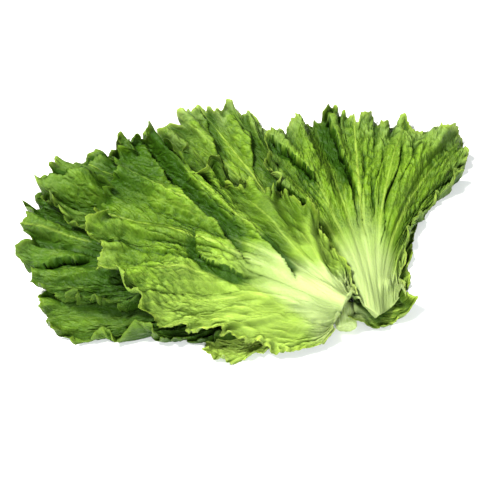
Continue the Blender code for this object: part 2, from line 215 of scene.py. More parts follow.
def smoothCurve(points, count):
    # A curve through the points, read at count + 1 places that are evenly spaced along it
    points = np.array(points)
    ends = np.vstack([2 * points[0] - points[1], points, 2 * points[-1] - points[-2]])
    steps = np.linspace(0, 1, cadLeaf["curveSteps"], endpoint=False)[:, None]
    pieces = []
    for before, start, end, after in zip(ends, ends[1:], ends[2:], ends[3:]):
        pieces.append(start + 0.5 * steps * (end - before)
                      + steps ** 2 * (before - 2.5 * start + 2 * end - 0.5 * after)
                      + steps ** 3 * (1.5 * (start - end) + 0.5 * (after - before)))
    dense = np.vstack(pieces + [points[-1:]])
    run = np.concatenate([[0], np.cumsum(np.linalg.norm(np.diff(dense, axis=0), axis=1))])
    places = np.linspace(0, run[-1], count + 1)
    return np.stack([np.interp(places, run, dense[:, i]) for i in range(2)], axis=1), places


def veinPoints(leaf, margin, share):
    # The points at that share of the way along the veins, from the wide base to the margin
    base, axis = np.array(leaf["base"]), direction(leaf["axis"])
    side = np.array([axis[1], -axis[0]])
    spread = np.linspace(0.5, -0.5, len(margin))[:, None]
    start = base + (side * spread + axis * np.abs(spread) * leaf["basePoint"]) * leaf["baseWidth"]
    reach = np.linalg.norm(margin - base, axis=1, keepdims=True)
    turn = np.radians(leaf["axis"] + leaf["fan"] * (marginBearings(leaf, margin) - leaf["axis"]))
    heading = np.column_stack([np.cos(turn), np.sin(turn)])
    bend = start + heading * reach * cadLeaf["veinStraightness"]
    return (1 - share) ** 2 * start + 2 * share * (1 - share) * bend + share ** 2 * margin


def marginBearings(leaf, margin):
    # The bearing of each margin point from the base, within half a turn of the leaf's axis
    away = margin - np.array(leaf["base"])
    off = np.arctan2(away[:, 1], away[:, 0]) - math.radians(leaf["axis"])
    return leaf["axis"] + np.degrees((off + math.pi) % (2 * math.pi) - math.pi)


def waveAlong(rng, length, wavelength):
    # A wave with uneven steps, as a function of the distance along the margin
    count = max(2, round(2 * length / wavelength))
    steps = 1 + cadLeaf["unevenness"] * rng.uniform(-1, 1, count)
    turns = np.concatenate([[0], np.cumsum(steps)]) / steps.sum() * length
    heights = (-1.0) ** np.arange(count + 1) * rng.uniform(*cadLeaf["waveHeights"], count + 1)

    def wave(place):
        at = np.clip(np.searchsorted(turns, place, side="right") - 1, 0, count - 1)
        share = np.clip((place - turns[at]) / (turns[at + 1] - turns[at]), 0, 1)
        ease = 0.5 - 0.5 * np.cos(math.pi * share)
        return heights[at] * (1 - ease) + heights[at + 1] * ease

    return wave


# Random fields over a leaf, read from tables that repeat; the start keeps every place above 0

fieldMake = {"repeat": 64, "start": 512, "jitter": (0.1, 0.9)}


def fieldPlaces(u, v, size):
    gu, gv = u / size + fieldMake["start"], v / size + fieldMake["start"]
    return gu, gv, np.floor(gu).astype(int), np.floor(gv).astype(int)


def swells(rng, u, v, size):
    # Smooth random swells of about that size, between -1 and 1
    many = fieldMake["repeat"]
    table = rng.uniform(-1, 1, (many, many))
    gu, gv, iu, iv = fieldPlaces(u, v, size)
    fu, fv = gu - iu, gv - iv
    fu, fv = fu * fu * (3 - 2 * fu), fv * fv * (3 - 2 * fv)
    left, right, front, back = iu % many, (iu + 1) % many, iv % many, (iv + 1) % many
    low = table[left, front] * (1 - fu) + table[right, front] * fu
    high = table[left, back] * (1 - fu) + table[right, back] * fu
    return low * (1 - fv) + high * fv


def cellMiddles(rng, u, v, size):
    # 0 on the creases between cells of about that size, and up to 1 in the middle of each
    many = fieldMake["repeat"]
    jitter = rng.uniform(*fieldMake["jitter"], (many, many, 2))
    gu, gv, iu, iv = fieldPlaces(u, v, size)
    nearest = np.full(u.shape, 9.0)
    second = np.full(u.shape, 9.0)
    for du in (-1, 0, 1):
        for dv in (-1, 0, 1):
            cell = jitter[(iu + du) % many, (iv + dv) % many]
            away = np.hypot(iu + du + cell[..., 0] - gu, iv + dv + cell[..., 1] - gv)
            second = np.minimum(second, np.maximum(nearest, away))
            nearest = np.minimum(nearest, away)
    return np.clip(second - nearest, 0, 1)


def blurred(field, rounds, axis):
    # Each round takes a quarter from either neighbour
    for _ in range(rounds):
        edge = np.concatenate([np.take(field, [0], axis), field, np.take(field, [-1], axis)], axis)
        count = field.shape[axis]
        before, after = np.take(edge, range(count), axis), np.take(edge, range(2, count + 2), axis)
        field = 0.25 * before + 0.5 * field + 0.25 * after
    return field


def eased(share):
    # From 0 to 1 with a soft start and end
    share = np.clip(share, 0, 1)
    return share * share * (3 - 2 * share)


# Reading the CAD leaf that a fine leaf stands for

readMake = {
    "lookFrom": 0.5, "unseen": 0.001, "rows": 56, "columns": 190, "crowding": 0.9, "lastRow": 0.985,
    "smoothing": 0.0032,
}


def middleHeights(node, plan):
    # The height of the CAD leaf's middle at each place, with gaps filled from further in along the same vein
    mesh = node.data
    tree = BVHTree.FromPolygons([v.co for v in mesh.vertices], [p.vertices for p in mesh.polygons])
    rows, columns = plan.shape[:2]
    heights = np.full((rows, columns), np.nan)
    down, up, far = Vector((0, 0, -1)), Vector((0, 0, 1)), readMake["lookFrom"]
    for row in range(rows):
        for column in range(columns):
            x, y = plan[row, column]
            above = tree.ray_cast(Vector((x, y, far)), down)[0]
            below = tree.ray_cast(Vector((x, y, -far)), up)[0]
            if above is not None and below is not None:
                heights[row, column] = (above.z + below.z) / 2
    for order, known in ((range(1, rows), -1), (range(rows - 2, -1, -1), 1)):
        for row in order:
            gap = np.isnan(heights[row])
            heights[row, gap] = heights[row + known, gap]
    return np.nan_to_num(heights, nan=readMake["unseen"])


def smoothedAcross(field, u, width):
    # Each row smoothed over that real width, however close its points lie
    out = np.empty_like(field)
    for row in range(len(field)):
        near = np.exp(-((u[row][:, None] - u[row][None, :]) / width) ** 2)
        out[row] = near @ field[row] / near.sum(axis=1)
    return out


def refined(field, rowsFrom, rowsTo, columns):
    # A coarse field read at the fine rows and columns
    acrossFrom, acrossTo = np.linspace(0, 1, field.shape[1]), np.linspace(0, 1, columns)
    wide = np.stack([np.interp(acrossTo, acrossFrom, line) for line in field])
    return np.stack([np.interp(rowsTo, rowsFrom, wide[:, i]) for i in range(columns)], axis=1)


def cadHeights(leaf, margin):
    # The course of the CAD leaf's middle, read coarsely along the veins and brought to the fine grid
    coarse = np.linspace(0, 1, readMake["rows"]) ** readMake["crowding"]
    few = np.linspace(0, leaf["columns"], readMake["columns"]).round().astype(int)
    read = np.minimum(coarse, readMake["lastRow"])
    plan = np.stack([veinPoints(leaf, margin, share)[few] for share in read]) + shift
    heights = middleHeights(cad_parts[leaf["name"]], plan)
    run = np.linalg.norm(np.diff(plan, axis=1), axis=2).cumsum(axis=1)
    run = np.concatenate([np.zeros((len(coarse), 1)), run], axis=1)
    heights = blurred(smoothedAcross(heights, run, readMake["smoothing"]), 1, 0)
    z = refined(heights, coarse, rowShares(leaf), leaf["columns"] + 1)
    return blurred(blurred(z, 3, 0), 4, 1)


# The leaves, from the surface up: each leaf's own values, and the usual ones where it names none

perMetre = 1000
usualLeaf = {
    "slot": "leaf_green", "basePoint": 0.45, "foldSpan": (0.05, 0.95), "plainTo": 0.14, "bare": 0,
    "teeth": 1, "fingers": 0.010, "fanWidth": 0.030, "paleOutside": 0, "striped": 0.5, "hollowShading": 0.9,
    "creases": (), "calm": (), "patches": (), "shades": (),
}

usualCrease = {"side": 1, "grows": 0.3, "fades": 0.1}

# base, heights and widths in metres; bearings in degrees; reaches from the base and radii in millimetres
# basePoint, foldSpan, plainTo: shares of the leaf's base, width and length
# columns and rows: points along the margin, and from the base to the margin
# curl: a turn that the whole lip has, and one that varies along it, in radians
# tint: how yellow; shade: how much painted shade darkens the leaf; pale: how far the pale rib fan reaches;
# the paler outside: how grey the outside is
# calm, patches, shades: bearing, reach, radius and strength of smoother spots, yellower spots and spots of
# painted shade
# ridge, valley: height or depth, and width, on the two sides of a crease; a crease may also give the width of
# the painted shade along its valley
leaves = [{**usualLeaf, **leaf} for leaf in (
    {
        "name": "leaf_front_low", "slot": "leaf_yellow_green", "seed": 3, "columns": 320, "rows": 62,
        "base": (0.0641, -0.0751), "axis": 196, "baseWidth": 0.013, "fan": 0.3, "midrib": 190,
        "rib": 0.0026,
        "blister": 0.0007, "fold": 0.0018, "wave": 0.002, "ruffle": 0.0026, "curl": (0.1, 1.3),
        "curlWidth": 0.01, "teeth": 1.3,
        "tint": 1.5, "shade": 0, "pale": 0.05, "hollowShading": 0.1,
        "outline": [(112, 13), (152, 58), (168, 106), (181, 138), (186, 132), (189.5, 106), (195, 99),
                    (204, 91), (207, 78), (208, 61), (212, 43), (224, 26), (246, 12)],
    },
    {
        "name": "leaf_left_low", "seed": 5, "columns": 480, "rows": 80, "base": (0.0642, -0.0706),
        "axis": 180, "baseWidth": 0.014, "fan": 0.2, "midrib": 178, "rib": 0.003,
        "blister": 0.0008, "fold": 0.0042, "wave": 0.005, "ruffle": 0.0032, "curl": (0.0, 1.6),
        "curlWidth": 0.011,
        "tint": 0.45, "shade": 0.85, "pale": 0.05,
        "outline": [(116, 13), (142, 72), (155, 149), (163.5, 200), (169.5, 220), (175, 219), (180, 217),
                    (184, 210), (187.5, 194), (188.5, 168), (190, 139), (193, 117), (197, 88), (203, 56),
                    (215, 26), (236, 13)],
    },
    {
        "name": "leaf_back", "seed": 8, "columns": 480, "rows": 80, "base": (0.0725, -0.0637), "axis": 117,
        "baseWidth": 0.014, "fan": 0.1, "midrib": 121, "rib": 0.003,
        "blister": 0.0009, "fold": 0.0038, "wave": 0.004, "ruffle": 0.0028, "curl": (0.0, 1.5),
        "curlWidth": 0.011, "teeth": 0.7, "fingers": 0.016,
        "tint": 0.15, "shade": 0.28, "pale": 0.05, "paleOutside": 0.55,
        "creases": [
            {"path": [(127.5, 140), (125.4, 165), (122.3, 197), (121.5, 210)],
             "grows": 0.35, "ridge": (0.005, 0.012), "valley": (0.004, 0.01), "lean": 0.0018},
            {"path": [(121.3, 120), (117.5, 145), (114.1, 164), (112, 180)],
             "grows": 0.35, "fades": 0.2, "ridge": (0.005, 0.01), "valley": (0.003, 0.01), "lean": 0.0015},
        ],
        "outline": [(50, 14), (78, 44), (94, 76), (103, 118), (107, 156), (109.5, 180), (112, 198),
                    (116, 201), (121, 211), (125, 212), (130, 208), (135, 208), (141, 189), (150, 142),
                    (163, 80), (178, 44), (196, 15)],
    },
    {
        "name": "leaf_right_low", "slot": "leaf_yellow_green", "seed": 13, "columns": 280, "rows": 54,
        "base": (0.087, -0.0627), "axis": 52, "baseWidth": 0.013, "fan": 0.2, "midrib": 55, "rib": 0.0026,
        "blister": 0.0007, "fold": 0.0018, "wave": 0.0015, "ruffle": 0.0026, "curl": (0.0, 1.3),
        "curlWidth": 0.009,
        "tint": 0.6, "shade": 0.1, "pale": 0.04,
        "outline": [(-22, 12), (6, 26), (19, 39), (33, 49), (46, 61), (55, 88), (61, 112), (68, 126),
                    (76, 124), (81, 110), (92, 62), (118, 15)],
    },
    {
        "name": "leaf_left_outer", "seed": 34, "columns": 480, "rows": 80, "base": (0.0625, -0.0692),
        "axis": 166, "baseWidth": 0.015, "fan": 0.2, "midrib": 166, "rib": 0.0032,
        "blister": 0.0009, "fold": 0.0052, "wave": 0.006, "ruffle": 0.0032, "curl": (0.0, 1.8),
        "curlWidth": 0.012,
        "tint": 0.25, "shade": 1.05, "pale": 0.05, "paleOutside": 0.2,
        "creases": [
            {"path": [(160.0, 190), (161.5, 208), (163.0, 224), (163.5, 236)],
             "ridge": (0.006, 0.009), "valley": (0.01, 0.006), "lean": 0.0022},
            {"path": [(169.0, 175), (170.0, 195), (172.0, 212), (172.5, 226)],
             "side": -1, "ridge": (0.006, 0.009), "valley": (0.01, 0.006), "lean": 0.0022},
        ],
        "outline": [(92, 15), (122, 52), (138, 100), (147, 165), (153, 215), (157.5, 238), (161, 245),
                    (164, 239), (167, 233), (170.5, 233), (174, 226), (177.5, 214), (180, 190),
                    (181.5, 161), (184, 126), (193, 76), (207, 36), (228, 15)],
    },
    {
        "name": "leaf_left_middle", "seed": 42, "columns": 480, "rows": 80, "base": (0.064, -0.0669),
        "axis": 150, "baseWidth": 0.015, "fan": 0.2, "midrib": 150, "rib": 0.0034,
        "blister": 0.0009, "fold": 0.005, "wave": 0.0058, "ruffle": 0.0032, "curl": (0.0, 1.8),
        "curlWidth": 0.012, "teeth": 0.7,
        "tint": 0.1, "shade": 0.75, "pale": 0.05, "paleOutside": 0.25,
        "creases": [
            {"path": [(143.0, 170), (144.0, 190), (147.0, 204), (151.0, 214)],
             "fades": 0.15, "ridge": (0.004, 0.01), "valley": (0.011, 0.007), "lean": 0.002},
            {"path": [(151.0, 190), (153.5, 205), (156.0, 220), (157.5, 232)],
             "ridge": (0.005, 0.009), "valley": (0.009, 0.006), "lean": 0.002},
        ],
        "shades": [(147, 190, 24, 1.2), (152, 200, 20, 1.0)],
        "outline": [(76, 15), (102, 44), (119, 90), (128, 159), (133, 190), (139, 205), (145, 214),
                    (150, 224), (154.5, 235), (158, 236), (161, 225), (164, 204), (167.5, 175), (172, 137),
                    (182, 72), (196, 34), (216, 15)],
    },
    {
        "name": "leaf_heart", "slot": "leaf_yellow_green", "seed": 21, "columns": 200, "rows": 40,
        "base": (0.079, -0.072), "axis": -8, "baseWidth": 0.011, "fan": 0.2, "midrib": -4, "rib": 0.0018,
        "blister": 0.0004, "fold": 0.0008, "wave": 0.0008, "ruffle": 0.002, "curl": (0.0, 1.1),
        "curlWidth": 0.007, "teeth": 2.2,
        "tint": 0.75, "shade": 0.2, "pale": 0.02,
        "outline": [(-106, 10), (-90, 12), (-72, 13), (-52, 16), (-36, 22), (-24, 28), (-14, 34), (-6, 41),
                    (2, 45), (8, 50), (14, 46), (22, 43), (34, 38), (54, 24), (84, 10)],
    },
    {
        "name": "leaf_right_top", "seed": 55, "columns": 600, "rows": 96, "base": (0.0974, -0.0819),
        "axis": 95, "baseWidth": 0.04, "basePoint": 0.85, "fan": 0.15, "midrib": 92, "rib": 0.0042,
        "blister": 0.0011, "fold": 0.003, "foldSpan": (0.14, 0.95), "wave": 0.003, "ruffle": 0.0026,
        "plainTo": 0.3, "bare": 0.035, "curl": (0.0, 1.6), "curlWidth": 0.012, "fingers": 0.017,
        "tint": 0.1, "shade": 0.28, "pale": 0.115, "fanWidth": 0.026, "paleOutside": 0.35, "striped": 0.3,
        "creases": [
            {"path": [(93.5, 108), (94.1, 125), (96.0, 147), (98.0, 177), (99, 192)],
             "side": -1, "grows": 0.35, "ridge": (0.01, 0.012), "valley": (0.013, 0.006), "lean": 0.0025,
             "shadeBand": 0.016},
            {"path": [(107, 115), (108.5, 130), (111.5, 150), (114.2, 169), (116, 180)],
             "side": -1, "grows": 0.35, "ridge": (0.006, 0.01), "valley": (0.009, 0.005), "lean": 0.0018},
            {"path": [(116, 95), (117.4, 112), (120.9, 130), (124, 142)],
             "side": -1, "grows": 0.35, "fades": 0.2, "ridge": (0.004, 0.01), "valley": (0.004, 0.008),
             "lean": 0.0015},
        ],
        "calm": [(54, 38, 24, 0.9), (60, 50, 20, 0.8), (130, 50, 30, 0.8), (122, 80, 24, 0.6)],
        "patches": [(54, 40, 24, 0.9), (60, 52, 18, 0.7), (130, 50, 30, 0.9)],
        "outline": [(40, 30), (57, 46), (66, 64), (67, 84), (65, 108), (62.5, 130), (60, 155), (62, 177),
                    (66, 184), (72, 181), (79, 184), (87, 184), (95, 192), (102, 196), (110, 190),
                    (117.5, 173), (121, 150), (121.5, 120), (121.5, 80), (128, 50), (150, 31)],
    },
    {
        "name": "leaf_left_top", "seed": 89, "columns": 640, "rows": 104, "base": (0.0735, -0.0795),
        "axis": 147, "baseWidth": 0.018, "basePoint": 0.1, "fan": 0.5, "midrib": 158, "rib": 0.0048,
        "blister": 0.0014, "fold": 0.0034, "foldSpan": (0.36, 0.93), "wave": 0.002, "ruffle": 0.003,
        "curl": (0.0, 1.9), "curlWidth": 0.012,
        "tint": 0.2, "shade": 0, "pale": 0.105,
        "creases": [
            {"path": [(163, 72), (156.8, 83), (150.6, 105), (148.1, 126), (146.7, 145), (141.6, 176),
                      (139.8, 191), (137.8, 212)],
             "ridge": (0.005, 0.014), "valley": (0.016, 0.007), "lean": 0.0024, "shadeBand": 0.024},
            {"path": [(151.5, 41), (147.5, 52), (141.8, 62.5), (138.0, 72)],
             "fades": 0.3, "ridge": (0.002, 0.008), "valley": (0.008, 0.004), "lean": 0.0008},
            {"path": [(155, 36), (152.6, 43), (144.0, 62.5), (141.4, 77), (138, 95)],
             "fades": 0.4, "ridge": (0.003, 0.008), "valley": (0.006, 0.008), "lean": 0.0012},
            {"path": [(162, 60), (163.4, 79), (163.7, 100), (162.1, 110.5), (153.8, 123), (150, 135)],
             "side": -1, "fades": 0.4, "ridge": (0.002, 0.008), "valley": (0.006, 0.008), "lean": 0.001},
        ],
        "calm": [(191, 55, 50, 0.75), (178, 90, 32, 0.6), (188, 100, 30, 0.5), (205, 45, 35, 0.8),
                 (118, 92, 30, 0.85), (110, 50, 30, 0.85)],
        "patches": [(119, 98, 20, 0.3), (112, 50, 28, 0.6), (194, 60, 42, 1.0), (189, 90, 36, 0.9),
                    (185, 120, 34, 0.8), (174, 90, 30, 0.7), (176, 120, 26, 0.5), (169, 180, 16, 0.7)],
        "shades": [(147, 190, 30, 1.5), (152, 205, 26, 1.4), (142, 200, 26, 1.3), (119, 98, 24, 0.6),
                   (124, 110, 26, 0.4), (158, 150, 34, 0.5), (165, 175, 30, 0.5), (152, 130, 30, 0.5),
                   (140, 85, 22, 0.35), (129, 72, 20, 0.6), (118, 62, 20, 0.35), (151, 66, 16, 0.3),
                   (166, 190, 40, 0.3), (149.7, 218, 30, 0.8), (144.4, 192, 30, 0.7), (152, 182, 34, 0.6),
                   (146, 150, 26, 0.4), (158, 200, 34, 0.5), (118, 85, 16, 0.5), (151, 74, 20, 0.5),
                   (138, 46, 14, 0.3), (121, 88, 26, 0.75)],
        "outline": [(44, 13), (66, 21), (80, 32), (89, 44), (98, 55), (104, 62), (105, 75), (109, 89),
                    (115.5, 112), (123.5, 122), (129.5, 137), (133.5, 149), (134.5, 168), (135, 190),
                    (136, 207), (138.5, 217), (144, 211), (150.5, 205), (157, 196), (163.5, 193),
                    (170, 181), (175.5, 171), (180, 154), (185, 130), (190, 104), (197, 80), (206, 63),
                    (216, 46), (228, 29), (242, 14)],
    },
)]


# Veins, and the surface between them

veinMake = {
    "mains": 13, "mainSpread": 0.22, "mainStrength": (0.55, 0.8), "mainWidth": 0.0011,
    "sideStarts": (0.16, 0.27, 0.38, 0.50, 0.62), "startSpread": 0.04, "sideReach": (0.25, 0.5),
    "sideShortening": 1.25, "sideStrength": (0.35, 0.55), "sideWidth": 0.0008,
    "fineStarts": (0.45, 0.85), "fineDelay": 0.15, "fineReach": (0.08, 0.2), "fineStrength": (0.2, 0.35),
    "fineWidth": 0.0006, "turning": 0.75, "growsOver": 0.08, "fading": 0.45, "narrowing": (1.5, 0.8),
    "widestGap": 0.02,
}

gridMake = {"rowBlend": (0.45, 0.55), "rowCrowding": 1.5, "quarterRows": 0.26, "halfRows": 0.52}

# bend: height and size; cells: size and stretch along the veins; ribDrift: how far, both stretches and size
# wrinkles, swelling: height, stretch and size
surfaceMake = {
    "bend": (0.003, 0.012), "cells": (0.0074, 0.62), "smallCells": (0.0038, 0.7),
    "unevenness": (0.75, 0.45, 0.030), "bladeOver": 0.3, "outerFrom": 0.85, "outerOver": 0.15,
    "outerLoss": 0.35, "fullSpacing": 0.010, "leastRoom": 0.15, "blisterShares": (0.45, 0.55, 0.25),
    "blisterPowers": (0.5, 0.55, 0.6), "blisterHeight": 4.6, "sunk": 0.5,
    "ribSpacing": 0.0031, "ribDrift": (2.2, 2, 0.4, 0.012), "ribHeight": 0.00009, "ribsFrom": 0.10,
    "ribsOver": 0.3, "ribsWidth": 0.03, "veinHeight": 0.0005,
    "wrinkles": (0.0006, 0.3, 0.0042), "calmed": 0.7, "swelling": (0.0024, 0.6, 0.014),
}


def rowShares(leaf):
    # The share of the way to the margin at each row, closer together towards the margin
    steps = np.linspace(0, 1, leaf["rows"] + 1)
    even, crowded = gridMake["rowBlend"]
    return even * steps + crowded * (1 - (1 - steps) ** gridMake["rowCrowding"])


def patched(leaf, points, amount, patches):
    # That amount all over, and more on the patches
    amount = np.full(points.shape[:2], float(amount))
    for bearing, reach, radius, strength in patches:
        spot = np.array(leaf["base"]) + reach / perMetre * direction(bearing) + shift
        away = np.linalg.norm(points[..., :2] - spot, axis=2) / (radius / perMetre)
        amount = np.maximum(amount, strength * np.exp(-away ** 3))
    return amount


def branched(share, begins):
    # How far a branch has turned away from its vein
    return np.clip((share - begins) / (1 - begins), 0, 1) ** veinMake["turning"]


def veinsOf(rng, midrib):
    # The veins as start and end places along the margin, the share at which each begins, strength and width
    veins = []
    count, spread = veinMake["mains"], veinMake["mainSpread"]
    mains = (np.arange(count) + 0.5 + rng.uniform(-spread, spread, count)) / count
    first = int(np.argmin(np.abs(mains - midrib)))
    mains += (midrib - mains[first]) * np.exp(-np.abs(np.arange(count) - first))
    for i, main in enumerate(mains):
        strong = 1.0 if i == first else rng.uniform(*veinMake["mainStrength"])
        veins.append((main, main, 0.0, strong, veinMake["mainWidth"]))
        side = rng.choice([-1, 1])
        for start in veinMake["sideStarts"]:
            begins = start + rng.uniform(-veinMake["startSpread"], veinMake["startSpread"])
            reach = side * rng.uniform(*veinMake["sideReach"]) / count * (veinMake["sideShortening"] - begins)
            strong = rng.uniform(*veinMake["sideStrength"])
            veins.append((main, main + reach, begins, strong, veinMake["sideWidth"]))
            fine = max(rng.uniform(*veinMake["fineStarts"]), begins + veinMake["fineDelay"])
            at = main + reach * branched(fine, begins)
            end = at + rng.choice([-1, 1]) * rng.uniform(*veinMake["fineReach"]) / count
            veins.append((at, end, fine, rng.uniform(*veinMake["fineStrength"]), veinMake["fineWidth"]))
            side = -side
    return veins


def veinFields(veins, shares, columns, widths):
    # How strongly a vein shows at each point, and how far the point lies between its two nearest veins
    across = np.linspace(0, 1, columns + 1)[None, :]
    down = shares[:, None]
    mask = np.zeros((len(shares), columns + 1))
    left = np.full(mask.shape, 1.0)
    right = np.full(mask.shape, 1.0)
    thick, thinner = veinMake["narrowing"]
    for start, end, begins, strong, wide in veins:
        at = start + (end - start) * branched(down, begins)
        away = (across - at) * widths[:, None]
        grown = eased((down - begins) / veinMake["growsOver"]) if begins > 0 else 1.0
        fade = strong * (1 - veinMake["fading"] * down) * grown
        mask = np.maximum(mask, fade * np.exp(-(away / (wide * (thick - thinner * down))) ** 2))
        there = down >= begins
        if wide <= veinMake["fineWidth"]:
            continue
        left = np.where(there & (away >= 0), np.minimum(left, away), left)
        right = np.where(there & (away < 0), np.minimum(right, -away), right)
    left, right = np.minimum(left, veinMake["widestGap"]), np.minimum(right, veinMake["widestGap"])
    between = 4 * left * right / np.maximum((left + right) ** 2, 1e-12)
    return mask, between, left + right


def leafMargin(leaf):
    # The margin with the CAD's lobes, and what the forms of the edge need along it
    base = np.array(leaf["base"])
    outline = [base + reach / perMetre * direction(bearing) for bearing, reach in leaf["outline"]]
    margin, run = smoothCurve(outline, leaf["columns"])
    away = np.linalg.norm(margin - base, axis=1)
    free = np.minimum(1, away / cadLeaf["fullTeethReach"])
    along = np.gradient(margin, axis=0)
    outward = np.column_stack([along[:, 1], -along[:, 0]]) / np.linalg.norm(along, axis=1, keepdims=True)
    veinEnds = veinPoints(leaf, margin, 1) - veinPoints(leaf, margin, cadLeaf["nearMargin"])
    veinEnds /= np.linalg.norm(veinEnds, axis=1, keepdims=True)
    facing = np.clip((outward * veinEnds).sum(axis=1), 0, 1)
    edge = {
        "run": run, "outward": outward, "cut": free * facing ** 2,
        "frilly": eased((away - leaf["bare"]) / edgeMake["bareFade"]) * free,
        "sideways": blurred(1 - eased(facing / edgeMake["sidewaysFrom"]), 6, 0),
    }
    lobes = waveAlong(np.random.default_rng(leaf["seed"]), run[-1], cadLeaf["lobeWavelength"])
    margin = margin + outward * (lobes(run) * cadLeaf["lobeDepth"] * edge["cut"])[:, None]
    return margin, edge


def leafGrid(leaf, margin):
    # The fine grid on the plan: u runs along the margin, v along the veins, inward is how far the margin is
    columns, shares = leaf["columns"], rowShares(leaf)
    plan = np.stack([veinPoints(leaf, margin, share) for share in shares]) + shift
    stepsAcross = np.linalg.norm(np.diff(plan, axis=1), axis=2)
    u = np.concatenate([np.zeros((len(shares), 1)), np.cumsum(stepsAcross, axis=1)], axis=1)
    u = u - u[:, [columns // 2]]
    stepsDown = np.linalg.norm(np.diff(plan, axis=0), axis=2)
    v = np.concatenate([np.zeros((1, columns + 1)), np.cumsum(stepsDown, axis=0)])
    return {"plan": plan, "shares": shares, "down": shares[:, None], "widths": stepsAcross.sum(axis=1),
            "u": u, "v": v, "inward": v[-1][None, :] - v}


def textured(rng, leaf, grid, z, middle, calm):
    # Raised veins, blisters between them, fine ribs near the base, wrinkles and swells
    u, v, down, widths = grid["u"], grid["v"], grid["down"], grid["widths"]
    columns = leaf["columns"]
    mask, between, spacing = veinFields(veinsOf(rng, middle / columns), grid["shares"], columns, widths)
    height, size = surfaceMake["bend"]
    bend = swells(rng, u, v, size) * height
    size, stretch = surfaceMake["cells"]
    cells = cellMiddles(rng, u + bend, stretch * v - bend, size)
    size, stretch = surfaceMake["smallCells"]
    small = cellMiddles(rng, u - bend, stretch * v + bend, size)
    usual, varying, size = surfaceMake["unevenness"]
    rough = (usual + varying * swells(rng, u, v, size)) * (1 - calm)
    blade = eased((down - leaf["plainTo"]) / surfaceMake["bladeOver"])
    outer = eased((down - surfaceMake["outerFrom"]) / surfaceMake["outerOver"])
    blade = blade * (1 - surfaceMake["outerLoss"] * outer)
    roomy = np.clip(spacing / surfaceMake["fullSpacing"], surfaceMake["leastRoom"], 1)
    (low, high, fine), (vaulted, full, pointed) = surfaceMake["blisterShares"], surfaceMake["blisterPowers"]
    blister = (low + high * between ** vaulted * roomy) * cells ** full + fine * small ** pointed
    blister = blister * rough * blade
    z = z + leaf["blister"] * surfaceMake["blisterHeight"] * (blister - surfaceMake["sunk"] * rough * blade)
    far, acrossVeins, alongVeins, size = surfaceMake["ribDrift"]
    drift = far * swells(rng, u * acrossVeins, v * alongVeins, size)
    ribs = np.sin(2 * math.pi * u / surfaceMake["ribSpacing"] + drift)
    ribs = ribs * (1 - eased((down - surfaceMake["ribsFrom"]) / surfaceMake["ribsOver"]))
    ribs = ribs * eased(widths[:, None] / surfaceMake["ribsWidth"])
    z = z + surfaceMake["ribHeight"] * ribs + surfaceMake["veinHeight"] * mask * blade
    height, stretch, size = surfaceMake["wrinkles"]
    z = z + height * swells(rng, u, v * stretch, size) * blade * (1 - surfaceMake["calmed"] * calm)
    height, stretch, size = surfaceMake["swelling"]
    z = z + height * swells(rng, u, v * stretch, size) * blade
    return z, mask, blister


# Folds

foldMake = {
    "every": 0.026, "begins": (0.28, 0.62), "stops": (0.72, 1.05), "slant": 0.03, "wander": (0.001, 0.0025),
    "wanderTurns": (12, 26), "growsOver": 0.2, "fadesOver": 0.18, "depths": (0.5, 1.2), "cleftWidth": 0.0028,
    "ridge": (0.8, 0.0065), "fullyDark": 0.006,
}

creaseMake = {
    "steps": 40, "wander": (0.0016, 0.009), "fullyDark": 0.006, "darkWidth": 1.4, "darkFrom": 0.0003,
    "leanFrom": -0.0004, "leanWidth": 0.003,
}


def folded(rng, leaf, grid, z, length, room):
    # Narrow folds that run out between the veins, each a small step up beside a cleft
    columns, u, down = leaf["columns"], grid["u"], grid["down"]
    dark = np.zeros(z.shape)
    rise, riseWidth = foldMake["ridge"]
    for _ in range(int(length / foldMake["every"])):
        at, side = rng.uniform(*leaf["foldSpan"]) * columns, rng.choice([-1, 1])
        begins, stops = rng.uniform(*foldMake["begins"]), rng.uniform(*foldMake["stops"])
        line = at + rng.uniform(-foldMake["slant"], foldMake["slant"]) * columns * (1 - down[:, 0])
        wander = rng.uniform(*foldMake["wander"])
        wander = wander * np.sin(down * rng.uniform(*foldMake["wanderTurns"]) + rng.uniform(0, 6))
        middle = np.array([np.interp(place, np.arange(columns + 1), row) for place, row in zip(line, u)])
        away = (u - middle[:, None] + wander) * side
        grown = eased((down - begins) / foldMake["growsOver"]) * eased((stops - down) / foldMake["fadesOver"])
        depth = leaf["fold"] * rng.uniform(*foldMake["depths"]) * grown * room
        cleft = np.where(away > 0, 0, np.exp(np.minimum(away, 0) / foldMake["cleftWidth"]))
        z = z + depth * np.where(away > 0, rise * np.exp(-np.maximum(away, 0) / riseWidth), -cleft)
        # Painted shade in the cleft, as strong as the fold is deep
        dark = np.maximum(dark, depth / foldMake["fullyDark"] * cleft)
    return z, dark


